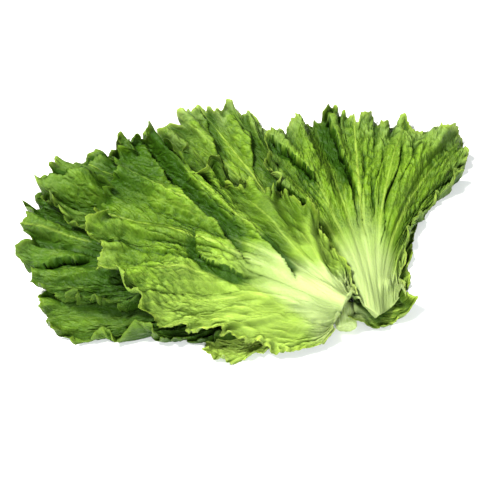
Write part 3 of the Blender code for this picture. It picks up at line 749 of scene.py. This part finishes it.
def creased(rng, leaf, plan, z, dark):
    # Sharp folds: along each path the sheet stands up on one side and leans over a valley on the other
    height, size = creaseMake["wander"]
    wander = height * swells(rng, plan[..., 0], plan[..., 1], size)
    base, steps = np.array(leaf["base"]) + shift, creaseMake["steps"]
    for fold in ({**usualCrease, **own} for own in leaf["creases"]):
        path = [base + reach / perMetre * direction(bearing) for bearing, reach in fold["path"]]
        path = smoothCurve(path, steps)[0]
        nearest = np.full(z.shape, 9.0)
        signed, place = np.zeros(z.shape), np.zeros(z.shape)
        across = np.zeros(plan.shape)
        for i, (start, end) in enumerate(zip(path, path[1:])):
            step = end - start
            share = np.clip(((plan - start) @ step) / (step @ step), 0, 1)
            off = plan - start - share[..., None] * step
            away = np.linalg.norm(off, axis=2)
            closer = away < nearest
            side = np.sign(step[0] * off[..., 1] - step[1] * off[..., 0]) * fold["side"]
            nearest = np.where(closer, away, nearest)
            signed = np.where(closer, away * side, signed)
            place = np.where(closer, (i + share) / steps, place)
            normal = np.array([-step[1], step[0]]) / np.linalg.norm(step) * fold["side"]
            across = np.where(closer[..., None], normal, across)
        grown = eased(place / fold["grows"]) * eased((1 - place) / fold["fades"])
        (rise, riseWidth), (drop, dropWidth) = fold["ridge"], fold["valley"]
        signed = signed + wander
        high, low = np.maximum(signed, 0), np.minimum(signed, 0)
        ridge, valley = rise * np.exp(-high / riseWidth), -drop * np.exp(low / dropWidth)
        z = z + grown * np.where(signed > 0, ridge, valley)
        # A band of painted shade along the valley side, fading away from the crest
        shadeBand = eased(2 + 2 * low / fold.get("shadeBand", creaseMake["darkWidth"] * dropWidth))
        shadeBand = np.where(signed > creaseMake["darkFrom"], 0, shadeBand)
        dark = np.maximum(dark, grown * min(1, drop / creaseMake["fullyDark"]) * shadeBand)
        near = np.where(signed > creaseMake["leanFrom"], np.exp(-high / creaseMake["leanWidth"]), 0)
        plan = plan + (-fold["lean"] * grown * near)[..., None] * across
    return plan, z, dark


# The edge: ruffles, teeth, the curl of the lip and the sway of the frills

# wave: length and depth; frills: length, share of the ruffle's height, and depth
# notches, flaps: height and size, twice; lively: usual, varying, stretch and size
edgeMake = {
    "bareFade": 0.03, "sidewaysFrom": 0.6, "wave": (0.030, 0.065), "drift": (0.006, 0.020),
    "lively": (0.8, 1.1, 0.3, 0.024), "livelyRange": (0.1, 1.7), "frillPower": 1.5,
    "frills": [(0.017, 1.0, 0.040), (0.0085, 1.0, 0.018), (0.0045, 0.42, 0.009)],
    "toothColumns": (2, 5), "toothHeights": (0.25, 1), "widestTooth": 5, "toothDepth": 0.0034,
    "toothFade": 0.05, "sideTeeth": 0.6, "toothPower": 1.5, "least": 1e-4,
    "notches": ((0.0026, 0.010), (0.0020, 0.0048)), "sideNotches": 0.7, "notchFade": 0.22, "notchPower": 1.3,
    "fingerSize": 0.0070, "fingerFrom": 0.34, "deepestNotch": -0.01,
    "flaps": ((0.007, 0.012), (0.0035, 0.005)), "flapFrom": 0.05,
    "curlSizes": (0.011, 0.005), "curlShares": (0.25, 1.0, 0.7), "curlRange": (-0.6, 1.3),
    "curlGrows": (1.2, 0.2), "leastCurl": 0.02, "curlReach": 0.35,
    "sway": 0.42, "swayRounds": 60, "steepestSway": 2, "leastStep": 2e-4, "mostSway": 0.0022,
    "swayReach": 0.03,
}


def ruffled(rng, leaf, grid, edge, z):
    # A broad wave and smaller frills near the margin
    u, v, inward, run = grid["u"], grid["v"], grid["inward"], edge["run"]
    frilly = edge["frilly"][None, :]
    height, size = edgeMake["drift"]
    place = run[None, :] + height * swells(rng, u, v, size)
    usual, varying, stretch, size = edgeMake["lively"]
    lively = np.clip(usual + varying * swells(rng, u, v * stretch, size), *edgeMake["livelyRange"])
    wavelength, depth = edgeMake["wave"]
    broad = np.clip(1 - inward / depth, 0, 1) * frilly
    z = z + waveAlong(rng, run[-1], wavelength)(place) * leaf["wave"] * broad
    for wavelength, height, depth in edgeMake["frills"]:
        near = np.clip(1 - inward / depth, 0, 1) ** edgeMake["frillPower"] * frilly
        z = z + waveAlong(rng, run[-1], wavelength)(place) * leaf["ruffle"] * height * near * lively
    return z


def teethAlong(rng, columns):
    # Pointed teeth along the margin, each with its tip at a column
    depth = np.zeros(columns + 1)
    at = 0
    while at < columns:
        wide = int(rng.integers(*edgeMake["toothColumns"]))
        tip = at + int(rng.integers(1, max(2, wide)))
        tall = rng.uniform(*edgeMake["toothHeights"]) * min(1, wide / edgeMake["widestTooth"])
        for column in range(at, min(at + wide, columns) + 1):
            if column <= tip:
                rise = (column - at) / (tip - at)
            else:
                rise = (at + wide - column) / max(1, at + wide - tip)
            depth[column] = max(depth[column], tall * max(0, rise))
        at += wide
    return depth


def lengthened(rng, leaf, grid, edge):
    # How much further out each point of the edge lies, for teeth, notches, fingers and flaps
    run, reach = edge["run"], grid["v"][-1][None, :]
    level = 0 * run

    def fading(share, power):
        return np.clip(1 - grid["inward"] / (share * reach + edgeMake["least"]), 0, 1) ** power

    teeth = teethAlong(rng, leaf["columns"]) * edgeMake["toothDepth"]
    teeth = teeth * np.maximum(edge["cut"], edgeMake["sideTeeth"] * edge["frilly"]) * leaf["teeth"]
    (wide, wideSize), (small, smallSize) = edgeMake["notches"]
    notch = wide * swells(rng, run, level, wideSize) + small * swells(rng, run, level, smallSize)
    fingers = np.clip(swells(rng, run, level, edgeMake["fingerSize"]) - edgeMake["fingerFrom"], 0, 1)
    notch = np.maximum(notch - leaf["fingers"] * fingers, edgeMake["deepestNotch"] * (1 - edge["sideways"]))
    notch = notch * np.maximum(edge["cut"], edgeMake["sideNotches"] * edge["frilly"])
    (wide, wideSize), (small, smallSize) = edgeMake["flaps"]
    flaps = wide * np.clip(swells(rng, run, level, wideSize) - edgeMake["flapFrom"], 0, 1)
    flaps = flaps + small * np.clip(swells(rng, run, level, smallSize), 0, 1)
    notch = notch + flaps * edge["sideways"] * edge["frilly"]
    longer = teeth[None, :] * fading(edgeMake["toothFade"], edgeMake["toothPower"])
    return longer + notch[None, :] * fading(edgeMake["notchFade"], edgeMake["notchPower"])


def curled(rng, leaf, grid, edge, plan, z):
    # The curl of the lip, which turns the last stretch of each vein up and over
    run, reach = edge["run"], grid["v"][-1]
    ends = grid["plan"][-1] - grid["plan"][-4]
    ends = ends / np.linalg.norm(ends, axis=1, keepdims=True)
    ends = ends * (1 - edge["sideways"][:, None]) + edge["outward"] * edge["sideways"][:, None]
    ends /= np.linalg.norm(ends, axis=1, keepdims=True)
    longer = lengthened(rng, leaf, grid, edge)
    usual, wide, small = edgeMake["curlShares"]
    wideSize, smallSize = edgeMake["curlSizes"]
    turn = usual + wide * swells(rng, run, 0 * run, wideSize) + small * swells(rng, run, 0 * run, smallSize)
    turn = leaf["curl"][0] + leaf["curl"][1] * np.clip(turn, *edgeMake["curlRange"])
    grows, starts = edgeMake["curlGrows"]
    turn = blurred(turn, 4, 0) * np.clip(edge["frilly"] * grows - starts, 0, 1)
    turn = np.where(np.abs(turn) < edgeMake["leastCurl"], edgeMake["leastCurl"], turn)[None, :]
    width = np.minimum(leaf["curlWidth"], edgeMake["curlReach"] * reach + 1e-5)[None, :]
    lip = np.clip(width - grid["inward"], 0, None)
    angle = turn * (lip + longer) / width
    stretch = width / turn
    outwards = np.where(lip > 0, stretch * np.sin(angle) - lip, longer)
    upwards = np.where(lip > 0, stretch * (1 - np.cos(angle)), 0)
    return plan + outwards[..., None] * ends[None], z + upwards


def swayed(grid, plan, z):
    # The sway of a frilled edge, whose crests lean over their hollows
    local = z - blurred(z, edgeMake["swayRounds"], 1)
    slope = np.gradient(z, axis=1) / np.maximum(np.gradient(grid["u"], axis=1), edgeMake["leastStep"])
    side = np.gradient(plan, axis=1)
    side /= np.maximum(np.linalg.norm(side, axis=2, keepdims=True), 1e-9)
    steep, most = edgeMake["steepestSway"], edgeMake["mostSway"]
    sway = np.clip(-edgeMake["sway"] * local * np.clip(slope, -steep, steep), -most, most)
    sway = sway * np.clip(1 - grid["inward"] / edgeMake["swayReach"], 0, 1)
    return plan + blurred(blurred(sway, 2, 1), 1, 0)[..., None] * side


# The whole surface of a leaf

sheetMake = {"halfBlade": 0.00023, "ribWidth": (0.009, 0.003), "ribTaper": 1.4, "seedStep": 1000}


def leafSurface(leaf):
    # The fine middle surface of a leaf before it is laid down, half its thickness, and what its paint needs
    rng = np.random.default_rng(leaf["seed"] + sheetMake["seedStep"])
    margin, edge = leafMargin(leaf)
    grid = leafGrid(leaf, margin)
    plan, down = grid["plan"], grid["down"]
    middle = int(np.argmin(np.abs(marginBearings(leaf, margin) - leaf["midrib"])))
    calm = patched(leaf, plan, 0, leaf["calm"])
    z, mask, blister = textured(rng, leaf, grid, cadHeights(leaf, margin), middle, calm)
    z, dark = folded(rng, leaf, grid, z, edge["run"][-1], 1 - calm)
    plan, z, dark = creased(rng, leaf, plan, z, dark)
    z = ruffled(rng, leaf, grid, edge, z)
    plan, z = curled(rng, leaf, grid, edge, plan, z)
    plan = swayed(grid, plan, z)

    fromRib = np.linalg.norm(plan - plan[:, [middle]], axis=2)
    wide, narrow = sheetMake["ribWidth"]
    width = wide + (narrow - wide) * down
    rib = leaf["rib"] * (1 - down) ** sheetMake["ribTaper"] * np.exp(-(fromRib / width) ** 2)
    half = sheetMake["halfBlade"] + rib / 2
    paint = {
        "vein": mask, "crest": blister, "dark": dark, "calm": calm, "u": grid["u"], "v": grid["v"],
        "inward": grid["inward"], "down": np.broadcast_to(down, mask.shape),
        "fan": np.exp(-(fromRib / leaf["fanWidth"]) ** 2),
    }
    return np.concatenate([plan, z[..., None]], axis=2), half, paint


# Laying one leaf on those below it, on maps of the heights seen from above and from below

layMake = {
    "gap": 0.0011, "pressGap": 0.0017, "pressRounds": 3, "liftRounds": 4, "easing": 12, "easeWidth": 0.0022,
    "mostEasing": 60, "mapStep": 0.0010, "mapReach": 0.26, "steepest": 0.35, "evenBase": 0.3,
    "baseRounds": 40, "nearEnough": 1e-5, "floorGap": 0.00005, "thinnest": 0.0001, "sightTurns": 10,
    "sightReaches": (0.002, 0.0035, 0.0055, 0.009, 0.014, 0.022),
}


def surfaceNormals(points):
    across, down = np.gradient(points, axis=1), np.gradient(points, axis=0)
    normals = np.cross(down, across)
    normals /= np.maximum(np.linalg.norm(normals, axis=2, keepdims=True), 1e-15)
    inner = int(layMake["evenBase"] * len(points))  # the points crowd together there, so it is evened out
    normals[:inner] = blurred(normals[:inner], layMake["baseRounds"], 1)
    return normals / np.maximum(np.linalg.norm(normals, axis=2, keepdims=True), 1e-15)


def mapSpots(places):
    return np.round((places + layMake["mapReach"]) / layMake["mapStep"]).astype(int)


def emptyMap(value):
    cells = int(2 * layMake["mapReach"] / layMake["mapStep"]) + 1
    return np.full((cells, cells), value)


def finely(surface):
    # The points of a surface, read three times as closely
    parts = []
    for i in range(3):
        for j in range(3):
            a, b = i / 3, j / 3
            parts.append(((1 - a) * (1 - b) * surface[:-1, :-1] + a * (1 - b) * surface[1:, :-1]
                          + (1 - a) * b * surface[:-1, 1:] + a * b * surface[1:, 1:]).reshape(-1, 3))
    return np.vstack(parts)


def writeMap(heights, surface, keep):
    # keep: np.maximum for the highest point over each cell, np.minimum for the lowest
    spots = finely(surface)
    where = mapSpots(spots[:, :2])
    keep.at(heights, (where[:, 0], where[:, 1]), spots[:, 2])


def readMap(heights, places):
    where = mapSpots(places)
    return heights[where[..., 0], where[..., 1]]


def sagOf(points, half):
    # How far the underside lies below the middle, measured straight down
    return half / np.maximum(np.abs(surfaceNormals(points)[..., 2]), layMake["steepest"])


def spread(amount, rounds):
    # The least smooth field that is nowhere below the amount
    wide = amount
    for _ in range(rounds):
        wide = np.maximum(amount, blurred(blurred(wide, 1, 0), 2, 1))
    return wide


def widest(field):
    for axis in (0, 1):
        field = np.maximum(field, np.maximum(np.roll(field, 1, axis), np.roll(field, -1, axis)))
    return field


def evenedAcross(amount, points):
    # Each row's amounts widened and rounded off over a real width, however closely its points lie
    out = np.empty_like(amount)
    for row in range(len(amount)):
        spacing = np.linalg.norm(np.diff(points[row, :, :2], axis=0), axis=1).mean()
        reach = int(np.clip(layMake["easeWidth"] / spacing, 1, layMake["mostEasing"]))
        padded = np.pad(amount[row], 2 * reach, mode="edge")
        wide = np.lib.stride_tricks.sliding_window_view(padded, 2 * reach + 1).max(axis=1)
        out[row] = np.lib.stride_tricks.sliding_window_view(wide, 2 * reach + 1).mean(axis=1)
    return out


def pressUnder(points, half, ceiling):
    # Presses the leaf down where it would meet the leaves that lie over it
    for _ in range(layMake["pressRounds"]):
        sag = sagOf(points, half)
        room = readMap(ceiling, points[..., :2]) - layMake["pressGap"] - sag
        over = widest(np.maximum(points[..., 2] - room, 0))
        if over.max() < layMake["nearEnough"]:
            break
        points[..., 2] -= spread(evenedAcross(over, points), layMake["easing"])
        points[..., 2] = np.maximum(points[..., 2], sag + layMake["thinnest"])


def liftClear(points, half, tops):
    # Raises the leaf where its underside would meet what lies below, easing each rise out to its neighbours
    for _ in range(layMake["liftRounds"]):
        sag = sagOf(points, half)
        need = readMap(tops, points[..., :2])
        short = np.where(need > 0, need + layMake["gap"], 0.0) + sag - points[..., 2]
        short = widest(np.maximum(short, 0))
        if short.max() < layMake["nearEnough"]:
            break
        points[..., 2] += spread(evenedAcross(short, points), layMake["easing"])


def layLeaf(points, half, tops):
    # The two sides of the leaf where it comes to lie
    liftClear(points, half, tops)
    normals = surfaceNormals(points)
    upper = points + normals * half[..., None]
    lower = points - normals * half[..., None]
    lower[..., 2] = np.maximum(lower[..., 2], layMake["floorGap"])
    upper[..., 2] = np.maximum(upper[..., 2], lower[..., 2] + layMake["thinnest"])
    writeMap(tops, upper, np.maximum)
    return upper, lower


def openSky(points, tops):
    # How much of the sky each point sees past what stands near it, for the painted shade in the hollows
    seen = np.zeros(points.shape[:2])
    for turn in np.linspace(0, 360, layMake["sightTurns"], endpoint=False):
        slope = np.zeros(seen.shape)
        for reach in layMake["sightReaches"]:
            near = readMap(tops, points[..., :2] + reach * direction(turn))
            slope = np.maximum(slope, (near - points[..., 2]) / reach)
        seen += 1 - slope / np.hypot(1, slope)
    return blurred(seen, 1, 1) / layMake["sightTurns"]


# Building the mesh of a leaf

chart = {
    "left": 0.012, "right": 0.988, "bottom": 0.012, "height": 0.476, "rimTop": 0.5095, "rimBottom": 0.4905,
}


def rowSteps(shares):
    # The step between the columns that each row uses, wider at the base, where the points crowd together
    quarter, half = gridMake["quarterRows"], gridMake["halfRows"]
    return [4 if share < quarter else 2 if share < half else 1 for share in shares]


def sheetFaces(columns, shares):
    # Quads and triangles, facing up, as indices into the full grid of points
    steps = rowSteps(shares)
    quads, triangles = [], []
    for row in range(len(shares) - 1):
        wide, fine = steps[row], steps[row + 1]
        a = row * (columns + 1) + np.arange(0, columns, wide)
        b = a + wide
        c = a + columns + 1
        if fine == wide:
            quads.append(np.column_stack([a, c, c + wide, b]))
        else:
            half = wide // 2
            triangles += [np.column_stack([a, c, c + half]), np.column_stack([a, c + half, b]),
                          np.column_stack([b, c + half, c + wide])]
    return np.vstack(quads), np.vstack(triangles)


def rimLoop(columns, shares):
    # The boundary of the grid, counter-clockwise from above: base, right edge, margin, left edge
    rows = len(shares)
    base = list(range(columns, -1, -rowSteps(shares)[0]))
    right = [row * (columns + 1) for row in range(1, rows)]
    margin = [(rows - 1) * (columns + 1) + column for column in range(1, columns + 1)]
    left = [row * (columns + 1) + columns for row in range(rows - 2, 0, -1)]
    return np.array(base + right + margin + left)


def makeMesh(name, vertices, faceSets):
    # faceSets: arrays of faces with the same number of corners, and whether each set is smooth
    mesh = bpy.data.meshes.new(name)
    loops = np.concatenate([faces.ravel() for faces, _ in faceSets])
    sizes = np.concatenate([np.full(len(faces), faces.shape[1]) for faces, _ in faceSets])
    smooth = np.concatenate([np.full(len(faces), flag) for faces, flag in faceSets])
    mesh.vertices.add(len(vertices))
    mesh.vertices.foreach_set("co", vertices.astype(np.float32).ravel())
    mesh.loops.add(len(loops))
    mesh.loops.foreach_set("vertex_index", loops.astype(np.int32))
    mesh.polygons.add(len(sizes))
    starts = np.concatenate([[0], np.cumsum(sizes)[:-1]])
    mesh.polygons.foreach_set("loop_start", starts.astype(np.int32))
    mesh.polygons.foreach_set("use_smooth", smooth)
    mesh.update(calc_edges=True)
    mesh.validate()
    return mesh, loops


def giveNumbers(mesh, name, values):
    layer = mesh.attributes.new(name, "FLOAT", "POINT")
    layer.data.foreach_set("value", values.astype(np.float32).ravel())


numberMake = {"edge": 0.0045, "edgeGrows": (3, 0.6), "outer": 0.022, "foldShade": 1.3, "layerStep": 0.37}


def leafNumbers(leaf, paint, upper, tops):
    # What the paint reads at each point of the sheet
    grows, starts = numberMake["edgeGrows"]
    lip = np.exp(-(paint["inward"] / numberMake["edge"])) * np.clip(paint["down"] * grows - starts, 0, 1)
    # Painted shade: the leaf's own amount, more on its shade spots, and more along the fold and crease clefts
    shade = patched(leaf, upper, leaf["shade"], leaf["shades"])
    return {
        "vein": paint["vein"], "crest": paint["crest"], "calm": paint["calm"], "fan": paint["fan"],
        "edge": lip, "outer": np.exp(-(paint["inward"] / numberMake["outer"]) ** 2),
        "open": openSky(upper, tops), "reach": paint["v"],
        "yellow": patched(leaf, upper, leaf["tint"], leaf["patches"]),
        "shade": np.maximum(shade, numberMake["foldShade"] * paint["dark"]), "cleft": paint["dark"],
    }


def buildLeaf(leaf, paint, upper, lower, tops):
    # A closed sheet: the upper side, the lower side and the wall between them
    columns, shares = leaf["columns"], rowShares(leaf)
    quads, triangles = sheetFaces(columns, shares)
    count = upper.shape[0] * upper.shape[1]
    rim = rimLoop(columns, shares)
    after = np.roll(rim, -1)
    wall = np.column_stack([rim, after, after + count, rim + count])[:, ::-1]
    used = np.zeros(2 * count, bool)
    for faces in (quads, triangles):
        used[faces.ravel()] = True
        used[faces.ravel() + count] = True
    fresh = np.cumsum(used) - 1
    sets = [(quads, True), (quads[:, ::-1] + count, True),
            (triangles, True), (triangles[:, ::-1] + count, True), (wall, False)]
    vertices = np.vstack([upper.reshape(-1, 3), lower.reshape(-1, 3)])[used]
    mesh, loops = makeMesh(leaf["name"] + "_fine", vertices, [(fresh[faces], flag) for faces, flag in sets])

    for name, field in leafNumbers(leaf, paint, upper, tops).items():
        giveNumbers(mesh, name, np.tile(field.ravel(), 2)[used])
    under = np.repeat([0.0, 1.0], count)[used]
    giveNumbers(mesh, "underside", under)
    u, v = (np.tile(paint[name].ravel(), 2)[used] for name in ("u", "v"))
    places = np.column_stack([u, v, under + leaf["seed"] * numberMake["layerStep"]])
    layer = mesh.attributes.new("leafPlace", "FLOAT_VECTOR", "POINT")
    layer.data.foreach_set("vector", places.astype(np.float32).ravel())

    across = np.linspace(chart["left"], chart["right"], columns + 1)[None, :] + 0 * paint["v"]
    rise = chart["bottom"] + chart["height"] * paint["down"]
    spots = np.vstack([np.column_stack([across.ravel(), rise.ravel()]),
                       np.column_stack([across.ravel(), 1 - rise.ravel()])])[used]
    along = np.linspace(chart["left"], chart["right"], len(rim) + 1)
    heights = [chart["rimTop"], chart["rimTop"], chart["rimBottom"], chart["rimBottom"]]
    strip = np.stack([np.column_stack([along[:-1], along[1:], along[1:], along[:-1]]),
                      np.tile(heights, (len(rim), 1))], axis=2).reshape(-1, 2)
    corners = np.vstack([spots[loops[:-4 * len(rim)]], strip])
    mesh.uv_layers.new(name="OFBake").data.foreach_set("uv", corners.astype(np.float32).ravel())

    piece = stood(leaf["name"] + "_fine", mesh)
    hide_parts(leaf["name"])
    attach(piece, "root")
    mesh.materials.append(leafPaint(leaf))
    print("leaf", leaf["name"], "has", sum(len(p.vertices) - 2 for p in mesh.polygons), "triangles")


# The leaves' paint

# Two of these colours are painted shade: the near-black green of the hollows and clefts, and the multiplier
# of the shade spots
leafColours = {
    "blade": (0.140, 0.272, 0.004, 1), "deep": (0.052, 0.125, 0.001, 1), "young": (0.350, 0.500, 0.080, 1),
    "rib": (0.38, 0.48, 0.17, 1), "vein": (0.30, 0.42, 0.055, 1), "lip": (0.38, 0.50, 0.060, 1),
    "paleOutside": (0.30, 0.38, 0.16, 1), "grey": (0.13, 0.23, 0.04, 1), "hollowShade": (0.016, 0.052, 0.001, 1),
    "shade": (0.24, 0.34, 0.14, 1), "streak": (0.45, 0.45, 0.45, 1), "none": (1.0, 1.0, 1.0, 1),
}

leafGrain = {"broad": 45, "bent": 160, "wrinkles": 300, "fine": 420, "net": 620, "streaks": 900}

leafFinish = {
    "roughness": 0.44, "uneven": 0.16, "netRoughness": 0.05, "relief": 0.0012, "reliefStrength": 0.8,
}

leafShader = {
    "Specular IOR Level": 0.13, "Subsurface Weight": 0.15, "Subsurface Radius": (0.0008, 0.0011, 0.0002),
    "Subsurface Scale": 1.0,
}


def leafPaint(leaf):
    paint = Paint(leaf["name"] + "_paint")
    names = ("vein", "edge", "reach", "crest", "yellow", "underside")
    vein, edge, reach, crest, yellow, under = (paint.attribute(name) for name in names)
    names = ("open", "shade", "calm", "fan", "outer", "cleft")
    seen, shade, calm, near, outer, cleft = (paint.attribute(name) for name in names)
    broad = paint.noise(paint.place(), leafGrain["broad"], 3)
    fine = paint.noise(paint.place(), leafGrain["fine"], 2)
    streaks = paint.noise(paint.place((1, 0.22, 1)), leafGrain["streaks"], 2)
    sockets = {"Vector": paint.place(), "Scale": leafGrain["bent"], "Detail": 2}
    bent = paint.node("ShaderNodeTexNoise", {}, sockets).outputs["Color"]
    shifted = paint.node("ShaderNodeVectorMath", {"operation": "MULTIPLY_ADD"},
                         {0: bent, 1: (0.004, 0.004, 0), 2: paint.place()}).outputs[0]
    wrinkles = paint.cells(paint.stretched(shifted, (1, 0.38, 1)), leafGrain["wrinkles"])
    mesh = paint.cells(paint.place((1, 0.6, 1)), leafGrain["net"])
    net = 1 - mesh.within(0.02, 0.16)
    leafy = reach.within(leaf["pale"] * 0.4, leaf["pale"] * 1.2) * (1 - 0.8 * calm)

    # What lies over the blade, from the bottom up: how much of it, and its colour; the painted shade
    # multiplies
    ribbed = 1 - reach.within(0.004, leaf["pale"] * (0.35 + 0.85 * near))
    fan = ribbed + vein * (1 - reach.within(0.02, leaf["pale"] * 2)) * leaf["striped"]
    fan, cleft = fan.within(0.05, 0.95), cleft.within(0.25, 0.95)
    lines = vein.within(0.12, 0.65) * (1 - cleft) * seen.within(0.1, 0.6) * (1 - fan) * (1 - 0.5 * shade)
    layers = [
        # The blister crests take the lighter blade green, so the creases between them stay darker: painted
        # light and shade on the blisters
        (crest.within(0.15, 0.8) * 0.6, "blade"), (yellow * (0.6 + 0.5 * broad), "young"),
        # The creases between the wrinkles are darkened with the deep green: painted shade
        ((1 - wrinkles.within(0.0, 0.22)) * leafy * 0.3, "deep"), (net * 0.25, "vein"), (fan, "rib"),
        # The outside of the leaf paler and greyer, in broad patches
        (outer * leaf["paleOutside"] * broad.within(0.3, 0.6), "paleOutside"),
        # The curled lip: the leaf's own yellower green at its margin, brightened further as painted light on
        # the lit frills
        (edge.within(0.2, 0.95) * (0.9 * broad), "lip"), (under * 0.45, "grey"),
        # Painted shade: the shade spots and clefts multiply the colour darker
        (shade * (0.4 + 0.8 * broad), "shade"),
        # The hollows, by how little sky they see, take a near-black green: painted shade
        ((1 - seen.within(0.22, 0.93)) * leaf["hollowShading"] * (1 - 0.6 * calm), "hollowShade"),
        # The fold and crease clefts take the same near-black green: painted shade
        (cleft * 0.8, "hollowShade"), (lines * 0.75, "vein"),
    ]
    colour = paint.mix(broad.within(0.36, 0.64), leafColours["deep"], leafColours["blade"])
    for share, name in layers:
        over = leafColours[name]
        if name == "shade":
            over = paint.mix(1, colour, over, "MULTIPLY")
        colour = paint.mix(share, colour, over)
    streaked = paint.mix(streaks, leafColours["streak"], leafColours["none"])
    colour = paint.mix(0.25, colour, streaked, "MULTIPLY")
    paint.feed(paint.shader.inputs["Base Color"], colour)
    uneven = leafFinish["roughness"] + leafFinish["uneven"] * fine + leafFinish["netRoughness"] * net
    paint.feed(paint.shader.inputs["Roughness"], uneven)
    paint.settle(leafShader)
    relief = wrinkles.within(0.0, 0.4) * leafy + mesh.within(0.0, 0.35) * 0.12 + streaks * 0.15 - vein * 0.4
    bumped = paint.bump(relief, leafFinish["relief"], leafFinish["reliefStrength"])
    paint.feed(paint.shader.inputs["Normal"], bumped)
    return paint.material


# The cut stem, lying on its side

stem = {
    "length": 0.0196, "radius": 0.0078, "around": 72, "along": 34, "seed": 7, "floorGap": 0.00005,
    "cutTo": -0.46, "leastRadius": 0.002, "knobs": ((0.035, 5, 9), (0.02, 11, 0)),
    "uneven": (0.0005, 0.01, 0.02, 0.006), "underLeafFrom": 0.006,
    "profile": [(-0.5, 0.0), (-0.5, 0.55), (-0.495, 0.84), (-0.47, 0.93), (-0.40, 0.99), (-0.1, 1.04),
                (0.25, 0.97), (0.46, 0.79), (0.49, 0.62), (0.5, 0.0)],
    "skin": ((0.34, 0.48, 0.12, 1), (0.52, 0.64, 0.24, 1)),
    "flesh": ((0.36, 0.47, 0.15, 1), (0.24, 0.32, 0.08, 1)),
    "stripes": 900, "spots": 350, "roughness": 0.42, "spotted": 0.2, "relief": 0.0003, "reliefStrength": 0.7,
    "shader": {"Subsurface Weight": 0.3, "Subsurface Radius": (0.003, 0.003, 0.001)},
}


def stemPaint():
    paint = Paint("stem_paint")
    where = paint.node("ShaderNodeTexCoord").outputs["Object"]
    lines = paint.noise(paint.stretched(where, (1, 0.15, 1)), stem["stripes"], 2)
    spotty = paint.noise(where, stem["spots"], 3)
    skin = paint.mix(lines.within(0.3, 0.7), *stem["skin"])
    flesh = paint.mix(spotty.within(0.35, 0.75), *stem["flesh"])
    paint.feed(paint.shader.inputs["Base Color"], paint.mix(paint.attribute("cut"), skin, flesh))
    paint.feed(paint.shader.inputs["Roughness"], stem["roughness"] + stem["spotted"] * spotty)
    relief = paint.bump(lines * 0.7 + spotty * 0.5, stem["relief"], stem["reliefStrength"])
    paint.feed(paint.shader.inputs["Normal"], relief)
    paint.settle(stem["shader"])
    return paint.material


def buildStem():
    rng = np.random.default_rng(stem["seed"])
    spots, rings, around = smoothCurve(stem["profile"], stem["along"])[0], [], stem["around"]
    angles = np.linspace(0, 2 * math.pi, around, endpoint=False)
    middle = np.array([*(np.array(stemPlace) + shift), stem["radius"]])
    for along, radius in spots:
        bump = 1
        for height, many, turning in stem["knobs"]:
            bump = bump + height * np.sin(many * angles + turning * along) * radius
        wide = np.clip(radius, stem["leastRadius"], None) * stem["radius"] * bump
        x, z = wide * np.cos(angles), wide * np.sin(angles)
        y = np.full(around, along * stem["length"])
        height, aroundSize, alongSize, size = stem["uneven"]
        swell = swells(rng, angles * aroundSize, 0 * angles + along * alongSize, size)
        y += height * swell * min(1, radius * 2)
        rings.append(np.column_stack([x, y, z]) + middle)
    points = np.array(rings)
    points[..., 2] = np.maximum(points[..., 2], stem["floorGap"])
    count = len(spots)
    rows = np.arange(count - 1)[:, None] * around
    a = (rows + np.arange(around)[None, :]).ravel()
    b = (rows + (np.arange(around)[None, :] + 1) % around).ravel()
    quads = np.column_stack([a, a + around, b + around, b])
    caps = np.vstack([np.arange(around), (count - 1) * around + np.arange(around)[::-1]])
    mesh = makeMesh("stem_fine", points.reshape(-1, 3), [(quads, True), (caps, True)])[0]
    giveNumbers(mesh, "cut", np.repeat((spots[:, 0] < stem["cutTo"]) * 1.0, around))
    piece = stood("stem_fine", mesh)
    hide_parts("stem")
    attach(piece, "root")
    mesh.materials.append(stemPaint())
    print("stem has", len(mesh.vertices), "points")
    return points


def paintFloor(floor):
    paint = Paint("floor_paint")
    grain = paint.noise(paint.node("ShaderNodeTexCoord").outputs["Object"], studio["floorGrain"], 2)
    pale = studio["floorColour"]
    colour = paint.mix(grain, (*pale, 1), tuple(c * studio["floorShade"] for c in pale) + (1,))
    paint.feed(paint.shader.inputs["Base Color"], colour)
    paint.settle({"Roughness": studio["floorRoughness"]})
    floor.data.materials.append(paint.material)


def buildHead():
    # The leaves are pressed down from the top one, then laid from the lowest up
    surfaces = [leafSurface(leaf) for leaf in leaves]
    ceiling = emptyMap(9.0)
    for points, half, _ in surfaces[::-1]:
        pressUnder(points, half, ceiling)
        writeMap(ceiling, points - np.array([0, 0, 1]) * half[..., None], np.minimum)
    tops = emptyMap(0.0)
    laid = []
    for leaf, (points, half, _) in zip(leaves, surfaces):
        if leaf["name"] == "leaf_heart":
            stemPoints = buildStem()
            over = stemPoints[stemPoints[..., 2] > stem["underLeafFrom"]]
            where = mapSpots(over[:, :2])
            np.maximum.at(tops, (where[:, 0], where[:, 1]), over[:, 2])
        laid.append(layLeaf(points, half, tops))
    print("the leaves are laid down")
    for leaf, (_, _, paint), (upper, lower) in zip(leaves, surfaces, laid):
        buildLeaf(leaf, paint, upper, lower, tops)


placeCamera()
floor = placeStudio()
paintFloor(floor)
bpy.context.scene.view_settings.view_transform = "Standard"
print("camera, lights and floor are placed")
buildHead()
